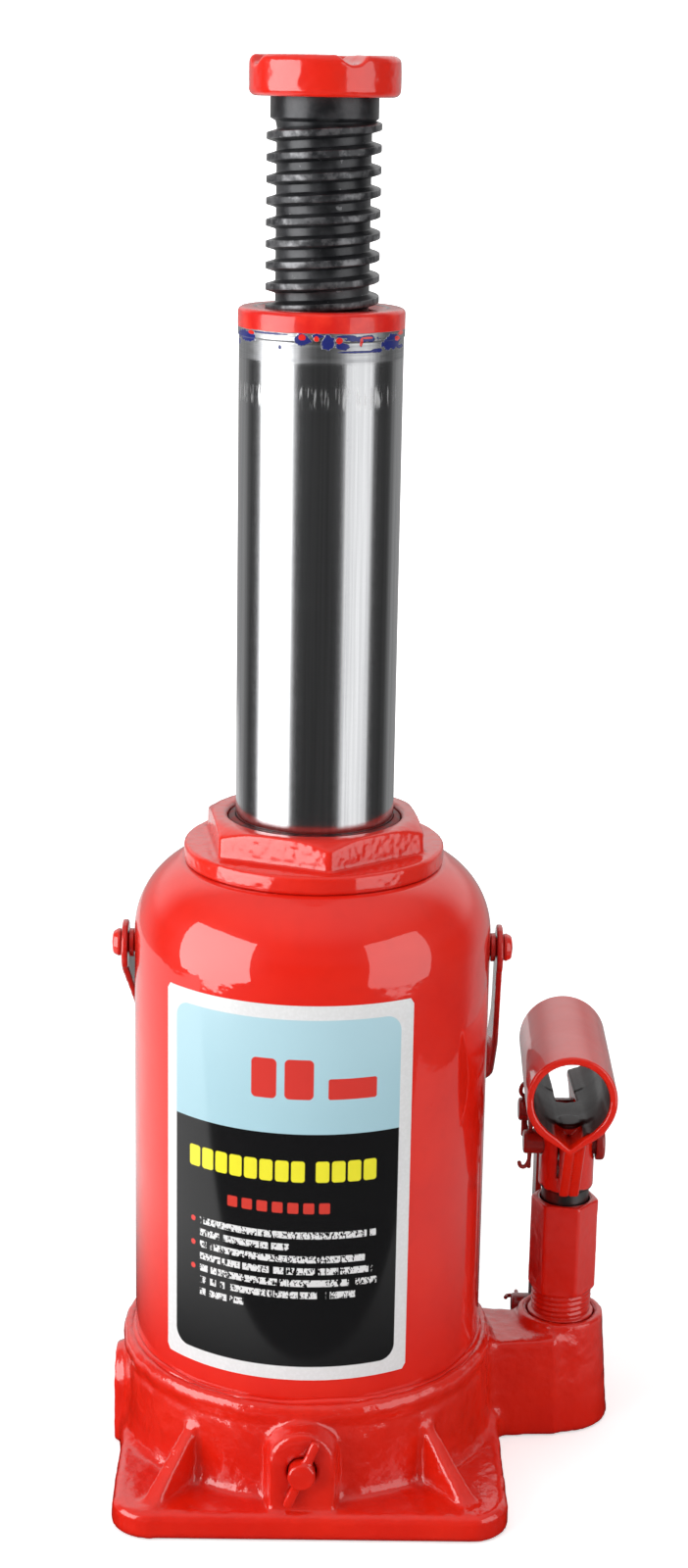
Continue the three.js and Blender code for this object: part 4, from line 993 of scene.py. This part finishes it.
thread_pts = np.array(pts, float)
vol = sum(thread_pts[f[0]] @ np.cross(thread_pts[f[t]], thread_pts[f[t + 1]]) for f in faces for t in range(1, len(f) - 1))
if vol < 0:
    faces = [tuple(reversed(f)) for f in faces]
thread = make("screw_thread", thread_pts, faces, "screw", screw_mat, ["extension_screw"], sharp=60)
pts, faces = revolve(densify(soften([(0, 430.5), (14.2, 430.5), (14.7, 432.9), (16.3, 433.8, 0.6), (16.3, 440.4), (0, 440.4)], 0.4, 4), 2.0), 96)
make("screw_neck", pts, faces, "screw", screw_mat)
pts, faces = revolve(soften([(0, 329.7), (14.0, 329.7), (14.0, 332.6), (12.4, 332.6), (12.4, 339.8), (0, 339.8)], 0.4, 3), 64)
make("screw_foot", pts, faces, "screw", screw_mat)


# ---------------------------------------------------------------- saddle
def saddle_field(x, y, z):
    r = np.sqrt(x * x + y * y)
    d = ext(r - 22.7, slab(z, 440.0, 452.0), 2.2)
    for az in (22.6, 112.6):
        a = math.radians(az)
        lat = x * math.cos(a) + y * math.sin(a)
        g = np.sqrt(lat * lat + (z - 453.8) ** 2) - 4.6
        d = smax(d, -g, 1.1)
    return d


pts, quads = field_mesh(saddle_field, (-23.5, -23.5, 439.5), (23.5, 23.5, 452.5), 0.42)
vn = normals_of(pts, quads)
lump = 0.09 * noise3(pts, 4.5) + 0.06 * noise3(pts + 21.0, 1.8)
pts = pts + vn * (lump * smooth((pts[:, 2] - 440.2) / 0.6))[:, None]
make("saddle_head", pts, quads, "screw", paint_nut, ["saddle"])


# ---------------------------------------------------------------- pump body
def pump_field(x, y, z):
    q = np.sqrt((x - PX) ** 2 + (y - PY) ** 2)
    az = np.arctan2(x - PX, -(y - PY))
    # coarse thread showing between the boss and the hexagon
    ridge = 0.33 * np.cos(2 * PI * (z / 1.9 - az / (2 * PI)))
    neck = ext(q - 9.95 - ridge * smooth((z - 39.4) / 1.0), slab(z, 9.8, 48.5), 0.3)
    neck = np.where(z < 38.6, np.maximum(q - 11.2, 9.8 - z), neck)
    hexd = None
    for i in range(3):
        a = math.radians(-10 + 60 * i)
        d = np.abs((x - PX) * math.sin(a) - (y - PY) * math.cos(a)) - 10.0
        hexd = d if hexd is None else smax(hexd, d, 0.7)
    hexd = ext(hexd, slab(z, 47.0, 80.0), 0.5)
    hexd = smax(hexd, (q - 10.5) * 0.5 + (z - 80.0) * 0.866, 0.6)
    hexd = smax(hexd, (q - 10.6) * 0.6 + (47.0 - z) * 0.8, 0.6)
    d = smin(neck, hexd, 0.8)
    return smax(d, -np.maximum(q - 8.35, 12.5 - z), 0.4)


pts, quads = field_mesh(pump_field, (PX - 12, PY - 12, 9.5), (PX + 12, PY + 12, 80.6), 0.42)
vn = normals_of(pts, quads)
pts = pts + vn * ((0.06 * noise3(pts, 3.5) + 0.03 * noise3(pts + 5, 1.4)) * smooth((np.hypot(pts[:, 0] - PX, pts[:, 1] - PY) - 8.8) / 0.5))[:, None]
make("pump_barrel", pts, quads, "base", paint_forged, ["pump_body"])


# ---------------------------------------------------------------- plunger with its fork
def plunger_field(x, y, z):
    lx, ly = x - PX, y - PY
    q = np.sqrt(lx * lx + ly * ly)
    rod = ext(q - 8.0, slab(z, 16.0, 88.0), 0.8)
    rod = np.maximum(rod, -np.maximum(np.maximum(q - 20, 6.1 - q), slab(z, 19.9, 23.1)))
    side = np.maximum(np.abs(ly) - 8.9, 0 * z)
    topr = np.sqrt(ly * ly + np.maximum(z - P_PIN[1], 0) ** 2) - 8.4
    head = ext(np.maximum(q - 9.2, np.where(z > P_PIN[1], topr, q - 9.2)), 84.4 - z, 0.9)
    slot = np.maximum(np.abs(lx) - 3.75, 90.0 - z)
    head = smax(head, -slot, 0.5)
    hole = np.sqrt((y - P_PIN[0]) ** 2 + (z - P_PIN[1]) ** 2) - 4.08
    head = smax(head, -hole, 0.3)
    return np.minimum(rod, head)


pts, quads = field_mesh(plunger_field, (PX - 10, PY - 10, 15.5), (PX + 10, PY + 10, 108.6), 0.42)
vn = normals_of(pts, quads)
pts = pts + vn * ((0.07 * noise3(pts, 3.0) + 0.04 * noise3(pts + 5, 1.3)) * smooth((pts[:, 2] - 84.2) / 0.6) * smooth((np.abs(pts[:, 0] - PX) - 3.9) / 0.6))[:, None]
make("plunger_head", pts, quads, "plunger", fork_mat, ["plunger"])


# ---------------------------------------------------------------- pins, cotters, links
def pin_piece(name, yz, body, node):
    prof = soften([(0, -14.9), (PIN_R0, -14.9, 0.9), (PIN_R0, 9.4, 0.25), (5.9, 9.5, 0.5), (5.9, 12.4, 1.1), (0, 12.7)], 0.3, 4)
    p, f = revolve(densify(prof, 2.0), 40)
    p = place(p, along_x(PX, yz[0], yz[1]))
    n = 0.05 * noise3(p, 1.6)
    c = np.array([0, yz[0], yz[1]])
    rad = (p - c) * [0, 1, 1]
    rad = rad / np.maximum(np.linalg.norm(rad, axis=1, keepdims=True), 1e-6)
    p = p + rad * n[:, None]
    make(name, p, f, body, paint_pin, [node])


def cotter_piece(name, yz, body, node, turn=0.0, lay=0.0):
    """Split pin: an eye on top, two half-round legs through the pin, their tails bent apart; lay tips it over about the pin."""
    path = []
    for i in range(15):
        a = math.radians(-50 + 280 * i / 14)
        path.append((0.0, 2.3 * math.cos(a), 7.4 + 2.3 * math.sin(a)))
    first = [(0.0, 0.5, -9.4), (0.0, 0.5, -4.0), (0.0, 0.5, 2.0), (0.0, 0.55, 4.6)]
    last = [(0.0, -0.5, 4.6), (0.0, -0.5, 0.0), (0.0, -0.5, -5.2), (-0.5, -0.8, -7.4), (-1.7, -1.2, -8.7), (-3.0, -1.5, -8.3), (-3.5, -1.6, -7.0)]
    p, f = sweep(first + path + last, 0.72, 10, steps=4)
    rot = Matrix.Rotation(turn, 4, "Z")
    p = place(p, Matrix.Translation((PX - 12.6, yz[0], yz[1])) @ Matrix.Rotation(math.radians(lay), 4, "X") @ rot)
    make(name, p, f, body, paint_pin, [node])


PIN_R0 = 4.0
pin_piece("pin_plunger", P_PIN, "plunger", "plunger_pin")
pin_piece("pin_link_upper", B_PIN, "handle_socket", "link_pin_upper")
pin_piece("pin_link_lower", A_PIN, "base", "link_pin_lower")
cotter_piece("cotter_plunger", P_PIN, "plunger", "plunger_pin_cotter", 0.0)
cotter_piece("cotter_link_upper", B_PIN, "handle_socket", "link_pin_upper_cotter", 2.27)
cotter_piece("cotter_link_lower", A_PIN, "base", "link_pin_lower_cotter", -0.2, 90.0)


def link_field(side):
    x0 = PX + side * 7.4

    def f(x, y, z):
        ay, az = A_PIN
        by, bz = B_PIN
        t = np.clip(((y - ay) * (by - ay) + (z - az) * (bz - az)) / ((by - ay) ** 2 + (bz - az) ** 2), 0, 1)
        d2 = np.sqrt((y - ay - t * (by - ay)) ** 2 + (z - az - t * (bz - az)) ** 2) - 6.4
        d = ext(d2, np.abs(x - x0) - 1.05, 0.45)
        for cy, cz in (A_PIN, B_PIN):
            d = smax(d, -(np.sqrt((y - cy) ** 2 + (z - cz) ** 2) - 4.25), 0.3)
        return d

    return f


for side, nm in ((-1, "left"), (1, "right")):
    pts, quads = field_mesh(link_field(side), (PX + side * 7.4 - 1.3, 33, 22), (PX + side * 7.4 + 1.3, 47, 109), 0.4)
    make("link_bar_" + nm, pts, quads, "link", paint_pin, ["link_plate_" + nm])


# ---------------------------------------------------------------- handle socket
CT, ST = math.cos(TILT), math.sin(TILT)


def socket_field(x, y, z):
    dy, dz = y + 14.0, z - 126.0
    al = dy * CT - dz * ST
    up = dy * ST + dz * CT
    # the tube sits slightly askew on its tongue
    lat = x - PX + 2.1 - 0.0454 * al
    r = np.sqrt(lat * lat + up * up)
    fade = smooth((24.0 - al) / 12.0)
    # teardrop section: the sheet runs down into a seam under the tube
    vee_o = poly(lat, up, [(-11.6, -6.0), (-10.7, -10.5), (0.0, -18.6), (10.7, -10.5), (11.6, -6.0)]) + 3.5 * (1 - fade)
    vee_i = poly(lat, up, [(-8.0, -7.0), (-7.4, -9.9), (0.0, -16.2), (7.4, -9.9), (8.0, -7.0)]) + 4.0 * (1 - fade)
    outer = smin(r - 15.0, vee_o, 1.6)
    inner = smin(r - 12.4, vee_i, 1.0)
    # flattened spot where the two sheets of the seam close
    flat = ext(np.sqrt(lat * lat + ((al - 17.0) / 1.25) ** 2) - 4.3, np.abs(up + 13.2) - 1.35, 0.3)
    inner = smax(inner, -flat, 0.25)
    tube = ext(np.maximum(outer, -inner), slab(al, 0.0, 75.0), 0.85)
    seam = np.abs(x - PX)
    tongue = poly(y, z, [(-13.0, 116), (-12.6, 110.6), (-7, 101.6), (0.0, 90.5), (3.0, 85.6), (4.3, 84.8), (5.6, 85.3), (5.8, 92.8)]
                  + arc(P_PIN[0], P_PIN[1], 8.3, 212, 350, 10) + [(23.4, 104), (22.2, 116)])
    tongue = ext(tongue, seam - 3.35, 0.8)
    # the two sheets of the tongue meet in a fine line along its edge
    tongue = smax(tongue, -(np.maximum(seam - 0.18, -(tongue + 0.55))), 0.35)
    tongue = smax(tongue, -inner, 0.6)
    d = smin(tube, tongue, 1.6)
    ears = poly(y, z, [(34.2, 114), (34.2, 108), (33.1, 104.2)] + arc(B_PIN[0], B_PIN[1], 7.4, 170, 320, 10) + [(52, 103.0), (58.5, 107.6), (60, 113)])
    ears = ext(ears, np.abs(seam - 4.8) - 1.3, 0.5)
    ears = smax(ears, -(r - 12.4), 0.5)
    d = smin(d, ears, 1.4)
    slot = np.maximum(np.maximum(seam - 3.5, up + 6.0), 37.4 - al)
    d = smax(d, -slot, 0.5)
    d = smax(d, -(np.sqrt((y - P_PIN[0]) ** 2 + (z - P_PIN[1]) ** 2) - 5.4), 0.4)
    hb = np.sqrt((y - B_PIN[0]) ** 2 + (z - B_PIN[1]) ** 2) - 4.1
    return smax(d, -hb, 0.3)


pts, quads = field_mesh(socket_field, (PX - 15.5, -16, 84), (PX + 15.5, 62.5, 142.5), 0.5)
vn = normals_of(pts, quads)
low = smooth((112.0 - pts[:, 2]) / 6.0)
pts = pts + vn * ((0.02 + 0.05 * low) * noise3(pts, 6.0) + 0.03 * low * noise3(pts + 4, 2.0))[:, None]
make("socket_shell", pts, quads, "handle_socket", paint_tube, ["handle_socket"])


# ---------------------------------------------------------------- release valve
def valve_field(x, y, z):
    f = -y
    q = np.sqrt((x - VX) ** 2 + (z - VZ) ** 2)
    stem = ext(q - 4.35, slab(f, 50.0, 73.2), 0.7)
    stem = np.maximum(stem, -np.maximum(3.3 - q, slab(f, 57.9, 60.4)))
    tip = np.maximum(q - 1.4 - (f - 47.2) * 0.95, slab(f, 47.2, 51.0))
    stem = np.minimum(stem, np.maximum(tip, q - 4.4))
    # thin cross bar through the stem end
    c, s = math.cos(math.radians(22)), math.sin(math.radians(22))
    u = (x - VX) * c - (z - VZ) * s
    v = (x - VX) * s + (z - VZ) * c
    wing = ext(rrect(u, v, 1.5, 12.2, 1.2), np.abs(f - 70.6) - 1.25, 0.7)
    return smin(stem, wing, 1.6)


pts, quads = field_mesh(valve_field, (VX - 9, -74, VZ - 13.5), (VX + 9, -46.5, VZ + 13.5), 0.4)
vn = normals_of(pts, quads)
pts = pts + vn * (0.10 * noise3(pts, 2.6) + 0.05 * noise3(pts + 4, 1.2))[:, None]
make("release_spindle", pts, quads, "release_valve", paint_forged, ["release_valve"])


# ---------------------------------------------------------------- overload plug
def overload_field(x, y, z):
    f = -x
    q = np.sqrt(y * y + (z - VZ) ** 2)
    d = ext(q - 4.95, slab(f, 59.0, 64.5), 0.5)
    return smax(d, -np.maximum(np.abs(z - VZ) - 0.75, 63.3 - f), 0.3)


pts, quads = field_mesh(overload_field, (-68, -5.5, VZ - 5.5), (-58.5, 5.5, VZ + 5.5), 0.35)
make("overload_screw", pts, quads, "base", paint_pin, ["overload_plug"])

# ---------------------------------------------------------------- filler plug
prof = soften([(0, 52.0), (4.7, 52.0), (4.9, 53.2), (4.05, 53.6), (4.05, 57.7), (6.7, 57.7), (6.9, 59.4, 0.8), (6.2, 61.2, 0.8), (3.4, 61.6), (2.6, 60.9), (0, 60.8)], 0.4, 4)
pts, faces = revolve(densify(prof, 1.5), 48)
make("filler_bung", place(pts, along_back(0, 0, 165)), faces, "base", rubber_mat, ["filler_plug"])

# ---------------------------------------------------------------- carry handle
DROP = math.radians(45)
SD, CD = math.sin(DROP), math.cos(DROP)
LEN, BEND, SX = 93.0, 12.0, 60.6


def strap_local(x, y, z):
    # the left arm is bent inwards behind the tank, the right one a little outwards
    lean = 6.0 * np.clip((y - 4.0) / 56.0, 0.0, 1.0)
    ax = np.where(x < 0, np.abs(x) + lean, np.abs(x) - 0.4 * lean)
    # distance to the U-shaped centre line in the plane of the strap
    arm = np.where(y < LEN - BEND, ax - SX, 1e3)
    cx, cy = SX - BEND, LEN - BEND
    rr = np.sqrt(np.maximum(ax - cx, 0) ** 2 + np.maximum(y - cy, 0) ** 2) - BEND
    corner = np.where((ax > cx) & (y >= cy), rr, 1e3)
    bar = np.where((ax <= cx) & (y >= cy), y - LEN, 1e3)
    c = np.where(np.abs(arm) < 900, arm, np.where(np.abs(corner) < 900, corner, bar))
    c = np.where((y < cy) & (ax < cx), 50.0, c)
    edge = np.abs(z) - 8.0
    eye = np.sqrt(np.minimum(y - 2.2, 0) ** 2 + z * z) - 8.4
    edge = np.where(y < 2.2, eye, np.maximum(edge, -20.0) + np.where(y < 30, 0.0, 0.0))
    d = ext(np.abs(c) - 1.0, edge, 0.45)
    hole = np.sqrt(y * y + z * z) - 3.3
    return smax(d, -hole, 0.3)


pts, quads = field_mesh(strap_local, (-63, -9, -8.8), (66, 95, 8.8), 0.6)
# swing it down towards the back: local +Y goes back and down
m = Matrix.Translation((0, 0, STUD_Z)) @ Matrix.Rotation(-DROP, 4, "X")
pts = pts + normals_of(pts, quads) * (0.05 * noise3(pts, 9.0))[:, None]
make("carry_strap", place(pts, m), quads, "carry_handle", paint_strap, ["carry_handle"])
for nm, m in (("right", along_x(0, 0, STUD_Z)), ("left", along_left(0, 0, STUD_Z))):
    prof = soften([(0, 52.6), (4.4, 52.6), (4.4, 53.6), (3.0, 53.7), (3.0, 57.7), (4.6, 57.7), (4.6, 59.2), (3.0, 59.3), (3.0, 61.8), (4.3, 61.9), (4.45, 62.8, 0.5), (3.6, 64.5, 1.2), (0, 65.0)], 0.25, 4)
    pts, faces = revolve(densify(prof, 1.5), 40)
    pts = place(pts, m)
    pts = pts + (pts - np.array([0, 0, STUD_Z])) * [0, 1, 1] * (0.03 * noise3(pts, 1.8))[:, None]
    make("stud_" + nm, pts, faces, "base", paint_forged, ["handle_stud_" + nm])

# ---------------------------------------------------------------- CAD nodes that stay
CARRIED = {
    "pressure_cylinder": steel_mat, "cylinder_washer": copper_mat, "tank_gasket_lower": rubber_mat, "tank_gasket_upper": rubber_mat,
    "piston_guide_ring": copper_mat, "piston_cup": rubber_mat, "piston_retainer": steel_mat, "screw_stop_ring": steel_mat,
    "pump_washer": copper_mat, "pump_gland_ring": rubber_mat, "plunger_seal": rubber_mat, "release_valve_o_ring": rubber_mat,
    "release_ball": steel_mat, "overload_spring": steel_mat, "overload_ball": steel_mat, "suction_plug": steel_mat, "suction_ball": steel_mat,
    "delivery_plug": steel_mat, "delivery_spring": steel_mat, "delivery_ball": steel_mat, "oil_strainer": copper_mat,
}
for n, mat in CARRIED.items():
    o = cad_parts[n]
    o.data.materials.clear()
    o.data.materials.append(mat)

# ---------------------------------------------------------------- floor, light, camera
FILL, ROOM, BACKDROP = 0.38, 0.05, 0.38
scene = bpy.context.scene
bm = bmesh.new()
S, R = 3.0, 0.9
prof = [(-S, 0.0)] + [(1.3 + R * math.sin(math.radians(a)), R - R * math.cos(math.radians(a))) for a in range(0, 91, 6)] + [(1.3 + R, 3.2)]
cols_ = []
for x in (-S, S):
    cols_.append([bm.verts.new((x, y, z - 0.0002)) for y, z in prof])
for a, b, c, d in zip(cols_[0], cols_[1], cols_[1][1:], cols_[0][1:]):
    bm.faces.new((a, b, c, d))
me = bpy.data.meshes.new("floor")
bm.to_mesh(me)
bm.free()
me.shade_smooth()
floor = bpy.data.objects.new("floor", me)
scene.collection.objects.link(floor)
fm = Nodes("floor_paper")
fm.put("Base Color", fm.mix(fm.ramp(fm.noise(6.0, 2.0), 0.3, 0.7), (0.90, 0.90, 0.90), (0.93, 0.93, 0.93)))
fm.put("Roughness", 0.9)
# painted light: for camera rays the floor glows, weakly near the jack and strongly far off, whitening the shaded sweep
fm.put("Emission Color", (1.0, 1.0, 1.0))
fx, fy, _ = fm.xyz()
floor_glow = fm.ramp(fm.math("SQRT", fm.add(fm.mul(fx, fx), fm.mul(fy, fy))), 0.35, 1.1, 0.50, 1.1)
fm.put("Emission Strength", fm.mul(fm.new("ShaderNodeLightPath").outputs["Is Camera Ray"], floor_glow))
me.materials.append(fm.mat)

# lit table top as the shiny paint sees it; only glossy rays meet it
me = bpy.data.meshes.new("table_reflection")
me.from_pydata([(-0.55, -0.165, -0.0005), (0.42, -0.165, -0.0005), (0.42, 1.0, -0.0005), (-0.55, 1.0, -0.0005)], [], [(0, 1, 2, 3)])
table = bpy.data.objects.new("table_reflection", me)
scene.collection.objects.link(table)
tm = Nodes("table_glow")
tx, ty, _ = tm.xyz()
# painted shadow of the jack: the glow fades out near it; the glow is also brighter on the left, painted light from the
# key side
table_shadow_fade = tm.ramp(tm.math("SQRT", tm.add(tm.mul(tx, tx), tm.mul(ty, ty))), 0.10, 0.27)
glow = tm.new("ShaderNodeEmission")
tm.set(glow.inputs["Color"], (1.0, 1.0, 1.0, 1.0))
tm.set(glow.inputs["Strength"], tm.mul(table_shadow_fade, tm.ramp(tx, -0.10, 0.10, 0.80, 0.32)))
tm.link(glow.outputs[0], tm.out.inputs[0])
me.materials.append(tm.mat)
for q in ("visible_camera", "visible_diffuse", "visible_shadow", "visible_transmission", "visible_volume_scatter"):
    setattr(table, q, False)


def area(name, loc, target, sx, sy, power, color=(1, 1, 1), spread=180):
    l = bpy.data.lights.new(name, "AREA")
    l.shape = "RECTANGLE"
    l.size, l.size_y = sx, sy
    l.energy = power
    l.color = color
    l.spread = math.radians(spread)
    o = bpy.data.objects.new(name, l)
    scene.collection.objects.link(o)
    o.location = loc
    d = Vector(target) - Vector(loc)
    o.rotation_euler = d.to_track_quat("-Z", "Y").to_euler()
    return o


def softbox(name, az, dist, width, z0, z1, radiance):
    """Upright panel at an azimuth from the front, facing the jack."""
    a = math.radians(az)
    mid = (z0 + z1) / 2
    power = radiance * PI * width * (z1 - z0)
    return area(name, (dist * math.sin(a), -dist * math.cos(a), mid), (0, 0, mid), width, z1 - z0, power)


softbox("softbox_left", -64, 1.2, 1.17, -0.237, 0.95, 3.9)
softbox("softbox_right", 56.5, 1.2, 0.95, -0.237, 0.95, 1.5)
top_light = area("overhead", (0.0, -0.1, 1.9), (0, 0, 0.2), 1.4, 1.2, 9)
top_light.visible_glossy = False
floor.visible_glossy = False

world = bpy.data.worlds.new("studio")
scene.world = world
world.use_nodes = True
wt = world.node_tree
wt.nodes.clear()
wo = wt.nodes.new("ShaderNodeOutputWorld")
bg_cam = wt.nodes.new("ShaderNodeBackground")
bg_cam.inputs[0].default_value = (1, 1, 1, 1)
bg_cam.inputs[1].default_value = 1.0
bg_fill = wt.nodes.new("ShaderNodeBackground")
bg_fill.inputs[0].default_value = (1, 1, 1, 1)
bg_fill.inputs[1].default_value = FILL
# what shiny surfaces see: a bright backdrop behind the jack, a dark room in front
geo = wt.nodes.new("ShaderNodeTexCoord")
sep = wt.nodes.new("ShaderNodeSeparateXYZ")
wt.links.new(geo.outputs["Generated"], sep.inputs[0])
back = wt.nodes.new("ShaderNodeMapRange")
back.interpolation_type = "SMOOTHSTEP"
wt.links.new(sep.outputs["Y"], back.inputs[0])
for i, v in zip((1, 2, 3, 4), (0.35, 0.70, ROOM, BACKDROP)):
    back.inputs[i].default_value = v
sky = wt.nodes.new("ShaderNodeMapRange")
sky.interpolation_type = "SMOOTHSTEP"
wt.links.new(sep.outputs["Z"], sky.inputs[0])
for i, v in zip((1, 2, 3, 4), (0.45, 0.90, 0.0, 0.30)):
    sky.inputs[i].default_value = v
both = wt.nodes.new("ShaderNodeMath")
both.operation = "ADD"
wt.links.new(back.outputs[0], both.inputs[0])
wt.links.new(sky.outputs[0], both.inputs[1])
high = wt.nodes.new("ShaderNodeMapRange")
high.interpolation_type = "SMOOTHSTEP"
wt.links.new(sep.outputs["Z"], high.inputs[0])
for i, v in zip((1, 2, 3, 4), (0.05, 0.25, 1.0, 2.2)):
    high.inputs[i].default_value = v
lift = wt.nodes.new("ShaderNodeMath")
lift.operation = "MULTIPLY"
wt.links.new(back.outputs[0], lift.inputs[0])
wt.links.new(high.outputs[0], lift.inputs[1])
wt.links.new(lift.outputs[0], both.inputs[0])
bg_gloss = wt.nodes.new("ShaderNodeBackground")
bg_gloss.inputs[0].default_value = (1, 1, 1, 1)
wt.links.new(both.outputs[0], bg_gloss.inputs[1])
lp = wt.nodes.new("ShaderNodeLightPath")
m1 = wt.nodes.new("ShaderNodeMixShader")
wt.links.new(lp.outputs["Is Glossy Ray"], m1.inputs[0])
wt.links.new(bg_fill.outputs[0], m1.inputs[1])
wt.links.new(bg_gloss.outputs[0], m1.inputs[2])
m2 = wt.nodes.new("ShaderNodeMixShader")
wt.links.new(lp.outputs["Is Camera Ray"], m2.inputs[0])
wt.links.new(m1.outputs[0], m2.inputs[1])
wt.links.new(bg_cam.outputs[0], m2.inputs[2])
wt.links.new(m2.outputs[0], wo.inputs[0])

th, ps, ro = math.radians(15.056), math.radians(0.66), math.radians(1.012)
F = Vector((math.sin(ps) * math.cos(th), math.cos(ps) * math.cos(th), -math.sin(th)))
R0 = Vector((math.cos(ps), -math.sin(ps), 0))
U0 = R0.cross(F)
Rv = R0 * math.cos(ro) + U0 * math.sin(ro)
Uv = -R0 * math.sin(ro) + U0 * math.cos(ro)
cam_data = bpy.data.cameras.new("camera")
cam_data.sensor_width = 36.0
cam_data.sensor_fit = "AUTO"
cam_data.lens = 60.04
cam_data.clip_start = 0.05
cam_data.clip_end = 20
cam = bpy.data.objects.new("camera", cam_data)
scene.collection.objects.link(cam)
mw = Matrix.Identity(4)
for i in range(3):
    mw[i][0], mw[i][1], mw[i][2] = Rv[i], Uv[i], -F[i]
mw[0][3], mw[1][3], mw[2][3] = 0.0, -0.8056, 0.4448
cam.matrix_world = mw
scene.camera = cam
scene.view_settings.view_transform = "Standard"
scene.view_settings.look = "None"
scene.view_settings.exposure = 0.0
scene.view_settings.gamma = 1.0
